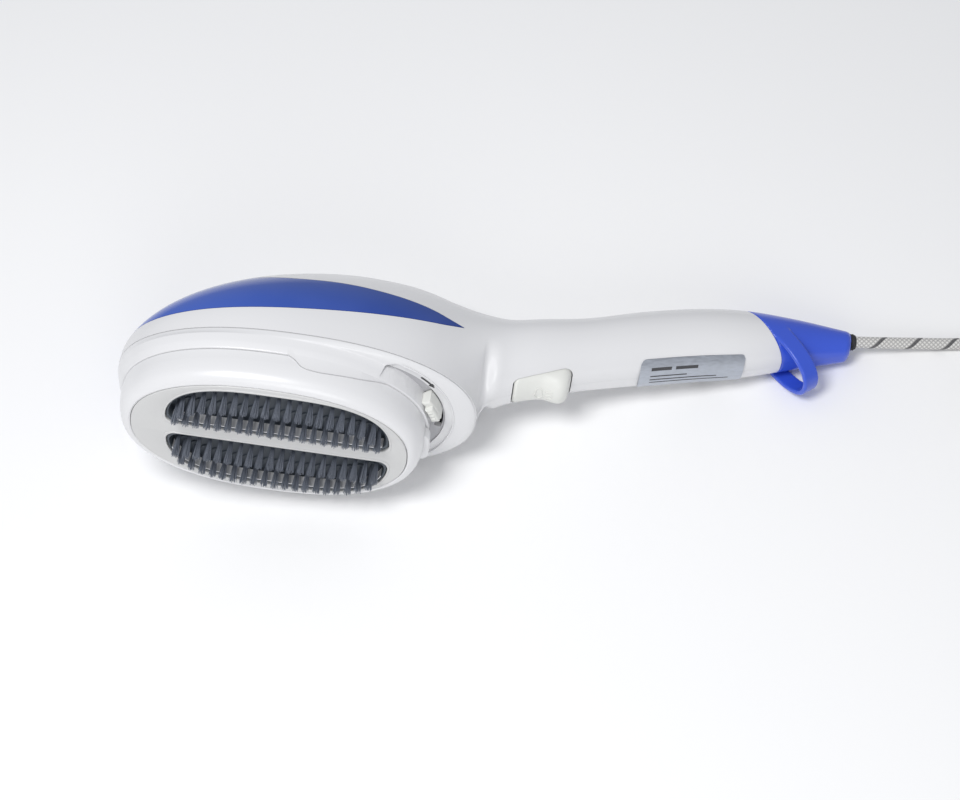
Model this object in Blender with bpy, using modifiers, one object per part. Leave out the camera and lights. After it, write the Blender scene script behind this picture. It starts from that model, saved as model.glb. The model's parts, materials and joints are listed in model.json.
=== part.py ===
"""Handheld steamer brush, lying on its side.

The steamer is modelled in its own frame: x runs from the nose to the tail, y across, and z up from the sole,
whose flat face is z = 0. An empty named stance lays it on the floor. Lengths are written in millimetres and
become metres when a mesh is made.
"""

import math

import bmesh
import bpy
from mathutils import Matrix, Vector

MM = 0.001
GAP = 0.3  # clearance between pieces that touch

# How it lies: rolled onto its right side, with the tail lowered to the floor
ROLL = -92.796
PITCH = 8.077
STANCE_AT = (-100.446, -54.64, 54.092)

# Head outline at the seam between housing and base
SEAM_Z = 29.0
SEAM_NOSE = -78.55
SEAM_REAR = 97.25
SEAM_HALF_WIDTH = 49.5
SEAM_POWER = 2.25
WALL = 2.2

# Dome: a quarter superellipse from the nose up to its crest
CREST_X = 38.0
CREST_Z = 95.0
DOME_POWER = 1.75

# Profiles along x, each a smooth curve through (x, value)
MID_LINE = ((-80, 33), (40, 33), (62, 37), (76, 45), (87, 54), (97, 61.5), (107, 67), (124, 72.9), (145, 79),
            (174, 88.1), (203, 95.8), (225, 100), (251, 104.4), (282, 108.2))
HALF_WIDTH = ((72, 37.2), (80, 32.8), (88, 28.4), (97, 24.3), (107, 21.3), (124, 19.5), (145, 17.9),
              (174, 18.1), (203, 17.8), (225, 16.6), (251, 12.6), (276, 7.9), (282, 7.0))
TOP_LINE = ((CREST_X, CREST_Z), (55, 95), (66, 94), (78, 92), (93, 90), (107, 89), (124, 92.9), (145, 97.7),
            (174, 107.1), (203, 114.3), (225, 117.2), (251, 117.3), (276, 115.8), (282, 115.4))
UNDER_LINE = ((97.25, 29.15), (98.6, 35), (101, 40), (107, 45), (115, 48.9), (124, 52.4), (145, 60.3),
              (174, 69.2), (203, 77.3), (225, 82.9), (251, 91.6), (276, 99.8), (282, 101.5))

# Handle end, tail cap and hanging loop: an oblique plane through these two points of the x-z plane
OBLIQUE_TOP = (222.0, 116.0)
OBLIQUE_LOW = (248.0, 86.0)
CAP_END_X = 279.5
LOOP_LONG = 45.5
LOOP_HALF_WIDTH = 14.4
LOOP_START = 8.0
LOOP_NEAR = 0.9
LOOP_FAR = 9.8
LOOP_THICK = 2.6
CORD_RADIUS = 3.0

# Sole, brush cover and base
SOLE_LONG = 66.9
SOLE_HALF_WIDTH = 39.7
SOLE_THICK = 2.2
COVER_LONG = 74.1
COVER_HALF_WIDTH = 46.8
COVER_TOP = 17.0
RECESS_X = 44.0
RECESS_RADIUS = 38.2
RECESS_FLOOR = 28.0

# Brush strips
SLOT_FRONT = -50.0
SLOT_REAR = 58.0
SLOT_INNER = 4.2
SLOT_OUTER = 36.0
STRIP_FLOOR = 8.0
STRIP_BACK = 9.4
TUFT_PITCH = 5.1
TUFT_TIP = -6.7
TUFT_ROW = 13.2
VENT_Y = 8.6
VENT_RADIUS = 1.6

# Trigger
TRIGGER_FRONT = 112.5
TRIGGER_REAR = 141.6
TRIGGER_PIVOT = (115.5, 0.0, 53.5)
REAR_STATIONS = (94.7, 96.4, 97.2)
PUMP_AT = (134.0, 0.0, 64.6)
PUMP_LEAN = -22.0

TRIGGER_HALF_ANGLE = 26.2
TRIGGER_WIDENS = 9.5  # degrees, from its front to its rear
TRIGGER_SHAPE = ((113.2, 0.4), (114.5, 1.2), (118, 1.4), (123, 1.6), (127.5, 2.6), (131.5, 5.0), (135, 7.2),
                 (137.6, 7.6), (139.6, 6.0), (140.9, 3.0))

# The window's outline in the x-z plane: the lower edge from nose to tip, then the upper edge back
WINDOW_LOW = ((-90, 31.5), (-70, 33.5), (-45, 37.5), (0, 43.5), (40, 49.5), (70, 56.5), (86, 62.5))
WINDOW_HIGH = ((86, 62.5), (70, 66.0), (50, 68.0), (24, 69.5), (0, 69.5), (-18, 71.5), (-30, 77.0), (-40, 95.0))
WINDOW_STATIONS = (-95, -80, -70, -58, -45, -30, -15, 0, 20, 40, 55, 70, 79)

# Filler, housing screws (x, z) and rating label
FILLER_X = 30.0
FILLER_RADIUS = 9.0
HOUSING_SCREWS = ((160.0, 72.5), (208.0, 85.5))
SCREW_HEAD_Y = 6.0
BOSS_RADIUS = 4.4
LABEL_FRONT = 174.5
LABEL_LONG = 51.5
LABEL_HALF_ANGLE = 37.0

# The lock slider turns about a vertical axis through RECESS_X. Its angles are in degrees, from the x axis
LOCK_STEM_RADIUS = 35.4
LOCK_AT = -26.0
LOCK_HALF = 11.0
LOCK_STEM_HALF = 9.5
LOCK_TRAVEL = 26.0
LOCK_SLOT = (LOCK_AT - LOCK_STEM_HALF - 1, LOCK_AT + LOCK_STEM_HALF + 1 + LOCK_TRAVEL)

# Steam chamber
CHAMBER_X = 8.0
CHAMBER_LONG = 60.0
CHAMBER_HALF_WIDTH = 17.0
CHAMBER_LOW = 12.8
CHAMBER_TOP = 28.0

# Cord: its line inside the tail cap, then its free stretch on the floor's own axes, from the cap to the coil
BUSHING_RADIUS = 4.3
BUSHING_PROUD = 2.5
CORD_LINE = ((262.0, -1.2, 107.6), (282.0, -1.2, 110.6))
CORD_ROUTE = ((158.4, 52.9, 13.3), (168.3, 54.4, 11.8), (178.2, 55.9, 10.3), (183.6, 56.7, 9.5),
              (190, 57.7, 8.5), (198, 59.0, 7.2), (206, 60.3, 6.0), (214, 61.5, 4.9), (222, 62.6, 4.0),
              (230, 63.6, 3.4), (238, 64.4, 3.2), (246, 65.1, 3.1), (254, 65.6, 3.2), (260.2, 65.8, 3.4))

# The rest of the cord is wound up beside the tail: two layers of turns, four side by side
COIL_AT = (283.0, 24.0)
COIL_MIDDLE = 33.0
COIL_LOW = 0.9
COIL_COLUMNS = 4
COIL_LAYERS = 2
TIE_HALF_WIDTH = 3.0
TIE_THICK = 0.5

# Plug, from its tail's end at this point of the floor's axes
PLUG_AT = (307.6, 66.0, 10.0)
PLUG_TAIL = 20.0
PLUG_LONG = 48.0
PLUG_WIDE = 35.0
PLUG_THICK = 19.8
PIN_RADIUS = 2.4
PIN_LONG = 19.0
PIN_SPACING = 19.0

PARTS = None
CUTTERS = None
STANCE = None


def clear_scene():
    for obj in list(bpy.data.objects):
        bpy.data.objects.remove(obj, do_unlink=True)


def new_collection(name):
    made = bpy.data.collections.new(name)
    bpy.context.scene.collection.children.link(made)
    return made


def new_material(name, colour, roughness, metallic=0.0, alpha=1.0):
    made = bpy.data.materials.new(name)
    made.use_nodes = True
    shader = made.node_tree.nodes["Principled BSDF"]
    shader.inputs["Base Color"].default_value = (*colour, 1.0)
    shader.inputs["Roughness"].default_value = roughness
    shader.inputs["Metallic"].default_value = metallic
    shader.inputs["Alpha"].default_value = alpha
    made.diffuse_color = (*colour, alpha)
    return made


def smooth(table, x):
    """The value at x on a smooth curve through the table's points."""
    if x <= table[0][0]:
        return table[0][1]
    if x >= table[-1][0]:
        return table[-1][1]
    slopes = [(b[1] - a[1]) / (b[0] - a[0]) for a, b in zip(table, table[1:])]
    i = next(k for k in range(len(slopes)) if x <= table[k + 1][0])
    (x0, y0), (x1, y1) = table[i], table[i + 1]
    before = slopes[i] if i == 0 else (slopes[i - 1] + slopes[i]) / 2
    after = slopes[i] if i == len(slopes) - 1 else (slopes[i] + slopes[i + 1]) / 2
    span = x1 - x0
    u = (x - x0) / span
    return ((2 * u**3 - 3 * u**2 + 1) * y0 + (u**3 - 2 * u**2 + u) * span * before
            + (3 * u**2 - 2 * u**3) * y1 + (u**3 - u**2) * span * after)


def outline(nose, rear, half_width, steps=None):
    """Points round a plan outline. Its steps are shares of the half length."""
    if steps is None:
        middle, half_length = (SEAM_NOSE + SEAM_REAR) / 2, (SEAM_REAR - SEAM_NOSE) / 2
        steps = [(x - middle) / half_length for x in (*skin_stations(), *REAR_STATIONS)]
    middle, half_length = (nose + rear) / 2, (rear - nose) / 2
    near = [(middle + half_length * u, -half_width * (1 - abs(u) ** SEAM_POWER) ** (1 / SEAM_POWER))
            for u in steps]
    return near + [(x, -y) for x, y in reversed(near)]


def even_steps(count):
    """Shares of a half length, crowded towards both ends."""
    return [-math.cos(math.radians(3 + 174 * k / (count - 1))) for k in range(count)]


def finish_mesh(name, bm, material, cutter, origin=(0, 0, 0)):
    """An object on the stance from a mesh in millimetres, with its origin at a point of the body frame."""
    bmesh.ops.recalc_face_normals(bm, faces=bm.faces)
    bmesh.ops.translate(bm, verts=bm.verts, vec=-Vector(origin))
    bmesh.ops.scale(bm, verts=bm.verts, vec=(MM, MM, MM))
    mesh = bpy.data.meshes.new(name)
    bm.to_mesh(mesh)
    bm.free()
    obj = bpy.data.objects.new(name, mesh)
    obj.location = Vector(origin) * MM
    obj.parent = STANCE
    if cutter:
        obj.hide_render = True
        obj.display_type = "WIRE"
        CUTTERS.objects.link(obj)
    else:
        mesh.materials.append(material)
        mesh.shade_smooth()
        mesh.set_sharp_from_angle(angle=math.radians(35))
        PARTS.objects.link(obj)
    return obj


def loft(name, rings, material=None, ends=True, closed=False, origin=(0, 0, 0)):
    """A surface through rings of points. It has flat ends, or closed joins the last ring to the first."""
    bm = bmesh.new()
    made = [[bm.verts.new(point) for point in ring] for ring in rings]
    pairs = list(zip(made, made[1:]))
    if closed:
        pairs.append((made[-1], made[0]))
    for low, high in pairs:
        for i in range(len(low)):
            j = (i + 1) % len(low)
            bm.faces.new((low[i], low[j], high[j], high[i]))
    if ends and not closed:
        bm.faces.new(made[0])
        bm.faces.new(made[-1])
    return finish_mesh(name, bm, material, material is None, origin)


def prism(name, shape, axis, low, high, material=None, origin=(0, 0, 0)):
    """A flat shape pushed along an axis. A shape across y is given as (x, z), one across z as (x, y)."""
    def point(u, v, w):
        return {"x": (w, u, v), "y": (u, w, v), "z": (u, v, w)}[axis]
    rings = [[point(u, v, w) for u, v in shape] for w in (low, high)]
    return loft(name, rings, material, origin=origin)


def cylinder(name, start, end, radius, material=None, sides=20, radius_end=None, origin=(0, 0, 0)):
    """A round rod between two points, tapered if it has an end radius."""
    start, end = Vector(start), Vector(end)
    along = end - start
    bm = bmesh.new()
    bmesh.ops.create_cone(bm, cap_ends=True, segments=sides, radius1=radius,
                          radius2=radius if radius_end is None else radius_end, depth=along.length)
    turn = along.to_track_quat("Z", "Y").to_matrix().to_4x4()
    bmesh.ops.transform(bm, matrix=Matrix.Translation((start + end) / 2) @ turn, verts=bm.verts)
    return finish_mesh(name, bm, material, material is None, origin)


def box(name, low, high, material=None, bevel=0.0):
    """A box between two corners."""
    bm = bmesh.new()
    bmesh.ops.create_cube(bm, size=1.0)
    size = [b - a for a, b in zip(low, high)]
    middle = [(a + b) / 2 for a, b in zip(low, high)]
    bmesh.ops.scale(bm, verts=bm.verts, vec=size)
    bmesh.ops.translate(bm, verts=bm.verts, vec=middle)
    obj = finish_mesh(name, bm, material, material is None)
    if bevel:
        round_edges(obj, bevel)
    return obj


def round_edges(obj, width, segments=1):
    made = obj.modifiers.new("rounding", "BEVEL")
    made.width = width * MM
    made.segments = segments
    made.limit_method = "ANGLE"
    made.angle_limit = math.radians(40)


def boolean(obj, other, operation, solver="EXACT"):
    made = obj.modifiers.new(f"{operation.lower()} {other.name}", "BOOLEAN")
    made.operation = operation
    made.object = other
    made.solver = solver
    return obj


def cut(obj, *cutters, solver="EXACT"):
    for cutter in cutters:
        boolean(obj, cutter, "DIFFERENCE", solver)
    return obj


def wire(name, points, radius, material, resolution=1):
    """A round wire or tube along points of the body frame."""
    curve = bpy.data.curves.new(name, "CURVE")
    curve.dimensions = "3D"
    curve.bevel_depth = radius * MM
    curve.bevel_resolution = resolution
    curve.use_fill_caps = True
    spline = curve.splines.new("POLY")
    spline.points.add(len(points) - 1)
    for place, point in zip(spline.points, points):
        place.co = (*(Vector(point) * MM), 1.0)
    curve.materials.append(material)
    obj = bpy.data.objects.new(name, curve)
    PARTS.objects.link(obj)
    return obj


def body_wire(name, points, radius, material, resolution=1):
    obj = wire(name, points, radius, material, resolution)
    obj.parent = STANCE
    return obj


def through(points, steps):
    """A smooth line through the points, with this many steps in each span."""
    points = [Vector(p) for p in points]
    ends = [2 * points[0] - points[1], *points, 2 * points[-1] - points[-2]]
    line = []
    for a, b, c, d in zip(ends, ends[1:], ends[2:], ends[3:]):
        for k in range(steps):
            t = k / steps
            line.append(0.5 * (2 * b + (c - a) * t + (2 * a - 5 * b + 4 * c - d) * t**2
                               + (3 * b - a - 3 * c + d) * t**3))
    return line + [points[-1]]


# The housing's outer skin


def seam_half_width(x, inset=0.0):
    middle, half_length = (SEAM_NOSE + SEAM_REAR) / 2, (SEAM_REAR - SEAM_NOSE) / 2 - inset
    across = 1 - abs((x - middle) / half_length) ** SEAM_POWER
    return (SEAM_HALF_WIDTH - inset) * max(across, 0.0) ** (1 / SEAM_POWER)


def top_height(x):
    if x >= CREST_X:
        return smooth(TOP_LINE, x)
    along = (CREST_X - x) / (CREST_X - SEAM_NOSE)
    return SEAM_Z + (CREST_Z - SEAM_Z) * (1 - along**DOME_POWER) ** (1 / DOME_POWER)


def skin_ring(x, inset=0.0, lower=5, upper=9, floor=None):
    """The housing's section at x, as points round it from the bottom centre. The inset shrinks it evenly."""
    middle = (SEAM_NOSE + SEAM_REAR) / 2
    skin_x = x
    if x < middle:
        half_length = (SEAM_REAR - SEAM_NOSE) / 2
        skin_x = middle + (x - middle) * half_length / (half_length - inset)
    under_x = skin_x + (5.0 * min(max((112.0 - skin_x) / 8.0, 0.0), 1.0) if inset else 0.0)
    wide = smooth(HALF_WIDTH, skin_x) if skin_x > HALF_WIDTH[0][0] else seam_half_width(skin_x)
    wide = max(wide - inset, 1.0)
    foot = max(seam_half_width(max(under_x, skin_x)) - inset, 1.5) if skin_x > HALF_WIDTH[0][0] else wide
    top = max(top_height(skin_x) - inset, SEAM_Z + 1.0)
    if under_x <= SEAM_REAR:
        bottom = SEAM_Z + GAP / 2 if floor is None else floor
    else:
        bottom = smooth(UNDER_LINE, under_x) + inset
    mid = smooth(MID_LINE, skin_x)
    if skin_x < CREST_X:
        mid = min(mid, (top + SEAM_Z) / 2)
    power = 2.0 + 0.3 * min(max((97.0 - skin_x) / 40.0, 0.0), 1.0)
    side = []
    flared = min(max((105.0 - skin_x) / 8.0, 0.0), 1.0)
    for i in range(lower):
        t = i / lower
        swell, rise = math.sin(math.pi * t / 2), 1 - math.cos(math.pi * t / 2)
        swell += flared * (t * t * (3 - 2 * t) - swell)
        rise += flared * (t - rise)
        side.append((foot + (wide - foot) * swell, bottom + (mid - bottom) * rise))
    for i in range(upper):
        angle = math.radians(90 * i / upper)
        side.append((wide * math.cos(angle) ** (2 / power),
                     mid + (top - mid) * math.sin(angle) ** (2 / power)))
    ring = [(0.0, bottom)] + [(y, z) for y, z in side] + [(0.0, top)] + [(-y, z) for y, z in reversed(side)]
    return [(x, y, z) for y, z in ring]


def skin_stations(inset=0.0):
    middle, half_length = (SEAM_NOSE + SEAM_REAR) / 2, (SEAM_REAR - SEAM_NOSE) / 2 - inset
    nose = [middle - half_length * math.cos(math.radians(a)) for a in (2, 6, 12, 20, 29, 39, 50, 62, 75, 90)]
    return nose + ([24, 40, 56, 68, 76, 84, 91] if inset else [22, 35, 48, 60, 70, 79, 87, 92])


def whole_skin(name, inset=0.0, tail=CAP_END_X, floor=None, material=None, lower=5, upper=9):
    """The housing's outer form as one solid. Shrunk, it leaves the head's rear wall thicker than the rest."""
    neck = [] if inset else [*REAR_STATIONS, 98.6]
    neck += [101, 104.5, 109, 116, 124, 134, 145, 160, 174, 189, 203, 214, 225, 238, 251, 264]
    stations = skin_stations(inset) + [x for x in neck if x < tail - 3] + [tail]
    return loft(name, [skin_ring(x, inset, lower, upper, floor) for x in stations], material)


def oblique(offset, reach=400.0):
    """Two points of the x-z plane along the handle's oblique end, moved towards the tail by an offset."""
    start, end = Vector(OBLIQUE_TOP), Vector(OBLIQUE_LOW)
    along = (end - start).normalized()
    normal = Vector((-along.y, along.x))
    if normal.x < 0:
        normal = -normal
    start = start + normal * offset - along * reach
    end = end + normal * offset + along * reach
    return start, end, normal


def beyond_oblique(name, offset, towards_tail):
    """A cutter for everything on one side of the oblique plane."""
    start, end, normal = oblique(offset)
    reach = normal * (120.0 if towards_tail else -400.0)
    corners = [tuple(start), tuple(end), tuple(end + reach), tuple(start + reach)]
    return prism(name, corners, "y", -90, 90)


def window_prism(name, shrink):
    """A prism through the window's outline, shrunk by an amount."""
    low = [(x, smooth(WINDOW_LOW, x) + shrink) for x in WINDOW_STATIONS]
    high = [(x, z - shrink) for x, z in WINDOW_HIGH[1:]]
    tip = (WINDOW_LOW[-1][0] - 2.5 * shrink, WINDOW_LOW[-1][1])
    return prism(name, [*low, tip, *high, (-95 - shrink, 95)], "y", -70, 70)


def make_housing(white):
    """Both halves of the housing: the skin less its inside and its openings, with screw bosses."""
    inside = whole_skin("inside", WALL, 266.0, 20.0, lower=4, upper=7)
    tail_side = beyond_oblique("handle_end", 0.0, True)
    filler = cylinder("filler_opening", (FILLER_X, 0, 80), (FILLER_X, 0, 110), FILLER_RADIUS + 0.4, sides=24)
    openings = [filler, tail_side, window_prism("window_opening", 0.0), trigger_opening()]
    for side, name in ((-1, "housing_left"), (1, "housing_right")):
        shell = whole_skin(name, 0.0, 262.0, material=white)
        low, high = sorted((-side * 70, side * GAP / 2))
        half = box(f"{name}_half", (-100, low, -30), (300, high, 160))
        cut(shell, inside, *openings, half, solver="MANIFOLD")
        for x, z in HOUSING_SCREWS:
            boss = cylinder(f"{name}_boss_{x:.0f}", (x, side * 0.5, z), (x, side * 8.5, z), BOSS_RADIUS,
                            sides=12)
            boolean(shell, boss, "UNION", "MANIFOLD")
            if side == 1:
                well = cylinder(f"screw_well_{x:.0f}", (x, SCREW_HEAD_Y, z), (x, 40, z), 3.5, sides=12)
                cut(shell, well, solver="MANIFOLD")
            bore = cylinder(f"{name}_bore_{x:.0f}", (x, -11.8, z), (x, 10, z), 1.9, sides=12)
            cut(shell, bore, solver="MANIFOLD")


def screw(name, head, tip, material, head_radius=3.2, shank_radius=1.5, head_length=2.0):
    """A pan head screw from the top of its head to its tip."""
    start, end = Vector(head), Vector(tip)
    along = (end - start).normalized()
    made = cylinder(name, start, start + along * head_length, head_radius, material, sides=12)
    boolean(made, cylinder(f"{name}_shank", start + along, end, shank_radius, sides=10), "UNION")
    return made


def make_window(blue):
    """The blue pane that fills the housing's window opening, in the same skin."""
    shell = whole_skin("water_window", 0.0, 120.0, material=blue)
    inside = whole_skin("window_inside", 2.0, 124.0, 10.0, lower=3, upper=7)
    boolean(shell, window_prism("window_shape", GAP), "INTERSECT")
    cut(shell, inside)


def make_tank(clear):
    """The water tank behind the window, open at the filler neck and at the outlet."""
    stations = [-58, -48, -36, -22, -6, 12, 30, 48, 62, 72]
    tank = loft("water_tank", [tank_ring(x, 3.9, 50.0) for x in stations], clear)
    hollow = loft("tank_hollow", [tank_ring(x, 5.5, 51.6) for x in [-56.4, *stations[1:-1], 70.4]])
    neck = cylinder("tank_neck", (FILLER_X, 0, 84), (FILLER_X, 0, 110), FILLER_RADIUS - 2.2, sides=20)
    outlet = cylinder("tank_outlet", (66, 0, 55), (80, 0, 55), 1.4, sides=10)
    cut(tank, hollow, neck, outlet)


def tank_ring(x, inset, low):
    """A section of the tank: the dome's section above the tank's flat floor."""
    top = top_height(x) - inset
    wide = smooth(HALF_WIDTH, x) if x > HALF_WIDTH[0][0] else seam_half_width(x)
    wide = (wide - inset) * 0.985
    mid = min(smooth(MID_LINE, x), low - 2.0)
    side = []
    first = math.asin(min((low - mid) / (top - mid), 0.95))
    for i in range(8):
        angle = first + (math.pi / 2 - first) * i / 8
        side.append((wide * math.cos(angle) ** 0.88, mid + (top - mid) * math.sin(angle) ** 0.88))
    side[0] = (side[0][0], low)
    ring = [(0.0, low), *side, (0.0, top)] + [(-y, z) for y, z in reversed(side)]
    return [(x, y, z) for y, z in ring]


def make_filler(rubber, white):
    """The filler's push-in cap and the ring seal round its plug."""
    top = top_height(FILLER_X)
    origin = (FILLER_X, 0, top - 4)
    profile = ((FILLER_RADIUS - 3.2, top - 10), (FILLER_RADIUS - 3.2, top - 3.2), (FILLER_RADIUS, top - 2.6),
               (FILLER_RADIUS, top - 0.6), (FILLER_RADIUS - 1.2, top + 0.2))
    turns = [math.tau * i / 24 for i in range(24)]
    rings = [[(FILLER_X + r * math.cos(a), r * math.sin(a), z) for a in turns] for r, z in profile]
    loft("filler_cap", rings, white, origin=origin)
    seal_low, seal_high = top - 7.4, top - 5.4
    seal = cylinder("filler_seal", (FILLER_X, 0, seal_low), (FILLER_X, 0, seal_high), FILLER_RADIUS - 2.5,
                    rubber, sides=20, origin=origin)
    cut(seal, cylinder("filler_seal_bore", (FILLER_X, 0, 70), (FILLER_X, 0, 110), FILLER_RADIUS - 2.9,
                       sides=20))


# Base, cover, sole and brush strips


def sweep(name, profile, material, steps=None):
    """A closed band: each (z, nose, rear, half width) of the profile is one plan outline."""
    rings = [[(x, y, z) for x, y in outline(nose, rear, half_width, steps)]
             for z, nose, rear, half_width in profile]
    return loft(name, rings, material, closed=True)


def scallop(name, shrink):
    """The dip in the cover's upper edge on each side, which the base's apron fills."""
    edge = ((5, 17.4), (9, 15.2), (13, 11.6), (18, 10.5), (26, 10.8), (41, 13.2), (50, 16.0), (57, 17.6))
    line = [(x, z + shrink) for x, z in edge]
    line[0] = (edge[0][0] + shrink, 17.4)
    line[-1] = (edge[-1][0] - shrink, 17.6)
    return prism(name, [*line, (edge[-1][0] - shrink, 24), (edge[0][0] + shrink, 24)], "y", -60, 60)


def make_base(white):
    """The ring between the housing's seam and the cover, with the recess that the lock slides in."""
    low = COVER_TOP + GAP
    inner_top = SEAM_Z + 1.2
    profile = ((SEAM_Z - GAP / 2, SEAM_NOSE, SEAM_REAR, SEAM_HALF_WIDTH), (27.4, -78.45, 94.0, 49.4),
               (25.9, -78.1, 86.0, 49.2), (25.3, -77.9, 77.5, 49.0), (21.0, -76.4, 75.9, 48.4),
               (low, -74.6, 75.2, 47.4), (low, -72.4, 72.8, 45.0), (22.0, -73.8, 73.1, 46.0),
               (inner_top, -73.4, 73.4, 44.9), (inner_top, -74.9, 86.0, 45.9),
               (SEAM_Z - GAP / 2, -74.9, 86.0, 45.9))
    base = sweep("base_ring", profile, white)
    apron = sweep("apron", ((9.0, -74.4, 74.4, 47.1), (19.5, -74.9, 75.0, 47.6), (19.5, -72.8, 72.8, 45.2),
                            (9.0, -72.2, 72.2, 44.9)), None)
    boolean(apron, scallop("apron_shape", GAP), "INTERSECT")
    boolean(base, apron, "UNION")
    cut(base, recess("recess", RECESS_RADIUS, 75.3, 15.0, RECESS_FLOOR))
    cut(base, arc_slot("slider_slot", LOCK_SLOT, LOCK_STEM_RADIUS - 1.8, LOCK_STEM_RADIUS + 1.8, 26.0,
                       32.0))


def recess(name, radius, inner_rear, low, high):
    """The crescent between the arc about the lock's axis and the cover's outline."""
    reach = math.radians(74)
    arc = [(RECESS_X + radius * math.cos(reach * k / 12), radius * math.sin(reach * k / 12))
           for k in range(-12, 13)]
    steps = [math.radians(52) * k / 12 for k in range(12, -13, -1)]
    half_width = COVER_HALF_WIDTH + 0.7
    back = [(inner_rear * abs(math.cos(a)) ** (2 / SEAM_POWER),
             math.copysign(half_width * abs(math.sin(a)) ** (2 / SEAM_POWER), a)) for a in steps]
    return prism(name, arc + back, "z", low, high)


def arc_points(radius, start, end, steps):
    """Points of an arc about the lock's axis."""
    return [(RECESS_X + radius * math.cos(math.radians(start + (end - start) * k / steps)),
             radius * math.sin(math.radians(start + (end - start) * k / steps))) for k in range(steps + 1)]


def arc_slot(name, angles, inner, outer, low, high, material=None, steps=6, origin=(0, 0, 0)):
    """A piece of a flat ring about the lock's axis."""
    shape = arc_points(outer, *angles, steps) + list(reversed(arc_points(inner, *angles, steps)))
    return prism(name, shape, "z", low, high, material, origin)


def make_lock(cream):
    """The lock's knob, with a stem through the base's slot and a plate that holds it from behind."""
    origin = (RECESS_X, 0, RECESS_FLOOR)
    angles = (LOCK_AT - LOCK_HALF, LOCK_AT + LOCK_HALF)
    stem_angles = (LOCK_AT - LOCK_STEM_HALF, LOCK_AT + LOCK_STEM_HALF)
    knob = arc_slot("lock_slider", angles, 33.1, 37.8, 20.4, RECESS_FLOOR - GAP, cream, 5, origin)
    grip = arc_slot("lock_grip", (LOCK_AT - 6, LOCK_AT + 9.5), 33.4, 37.4, 17.4, 21.0)
    stem = arc_slot("lock_stem", stem_angles, LOCK_STEM_RADIUS - 1.4, LOCK_STEM_RADIUS + 1.4, 27.0, 31.5)
    plate = arc_slot("lock_plate", (LOCK_AT - 13, LOCK_AT + 13), 31.6, 39.0, SEAM_Z + 1.5, SEAM_Z + 3.0)
    for piece in (grip, stem, plate):
        boolean(knob, piece, "UNION")


def make_cover(white, grey):
    """The hinged cover round the sole, its lug for the lock, and the sole plate in its face."""
    profile = ((0.3, -67.9, 67.9, 40.7), (1.0, -69.8, 69.8, 42.6), (2.6, -71.5, 71.5, 44.3),
               (5.0, -72.8, 72.8, 45.6), (8.5, -73.7, 73.7, 46.4),
               (12.0, -COVER_LONG, COVER_LONG, COVER_HALF_WIDTH),
               (COVER_TOP, -COVER_LONG, COVER_LONG, COVER_HALF_WIDTH), (COVER_TOP, -72.0, 72.0, 44.7),
               (4.6, -70.6, 70.6, 43.3), (4.6, -65.2, 65.2, 38.6), (2.5, -65.2, 65.2, 38.6),
               (2.5, -67.2, 67.2, 40.0), (0.3, -67.2, 67.2, 40.0))
    cover = sweep("brush_cover", profile, white, even_steps(24))
    cut(cover, scallop("cover_dip", 0.0))
    ends = [(72.6, 12.5), (75.0, 11.6), (76.4, 8.6), (76.5, 3.0), (76.2, -3.0), (74.8, -6.0), (72.6, -7.0)]
    lug = prism("cover_lug", ends, "z", 10.8, 16.6)
    boolean(cover, lug, "UNION")
    sole = prism("sole_plate", outline(-SOLE_LONG, SOLE_LONG, SOLE_HALF_WIDTH, even_steps(24)), "z", 0.0,
                 SOLE_THICK, grey)
    for side in (-1, 1):
        cut(sole, prism(f"sole_slot_{side}", slot_outline(side, 0.0), "z", -3, 6))


def slot_outline(side, inset):
    """A D: straight along the middle rib, bowed along the sole's edge, with rounded ends."""
    middle, half_length = (SLOT_FRONT + SLOT_REAR) / 2, (SLOT_REAR - SLOT_FRONT) / 2 - inset
    inner, outer = SLOT_INNER + inset, SLOT_OUTER - inset
    bow = [(middle + half_length * math.copysign(abs(math.cos(a)) ** 0.62, math.cos(a)),
            side * (inner + 5 + (outer - inner - 5) * math.sin(a) ** 0.95))
           for a in [math.pi * k / 20 for k in range(21)]]
    ends = [(middle - half_length + 1.2, side * (inner + 1.6)), (middle - half_length + 4.2, side * inner),
            (middle + half_length - 4.2, side * inner), (middle + half_length - 1.2, side * (inner + 1.6))]
    return bow + ends


def slot_edge(x):
    """How far out the slot's bowed edge is at x."""
    middle, half_length = (SLOT_FRONT + SLOT_REAR) / 2, (SLOT_REAR - SLOT_FRONT) / 2
    across = max(1 - abs((x - middle) / half_length) ** (1 / 0.31), 0.0) ** 0.475
    return SLOT_INNER + 5 + (SLOT_OUTER - SLOT_INNER - 5) * across


def tuft_places(side):
    """Where the tufts of one strip stand: an inner straight row and an outer bowed row."""
    middle = (SLOT_FRONT + SLOT_REAR) / 2
    places = []
    for row, count in ((0, 20), (1, 19)):
        for i in range(count):
            x = middle + (i - (count - 1) / 2) * TUFT_PITCH
            y = TUFT_ROW if row == 0 else min(slot_edge(x) - 8.0, slot_edge(x * 0.9) - 8.0)
            if row == 1:
                y = max(y, TUFT_ROW + 4.2)
            places.append((x, side * y))
    return places


def vents(name, sides=(-1, 1)):
    """Cutters for the steam's way out of the chamber and through the strips."""
    return [cylinder(f"{name}_{side}_{x}", (x, side * VENT_Y, 5), (x, side * VENT_Y, 18), VENT_RADIUS, sides=8)
            for side in sides for x in (-14, 0, 16, 30)]


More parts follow.
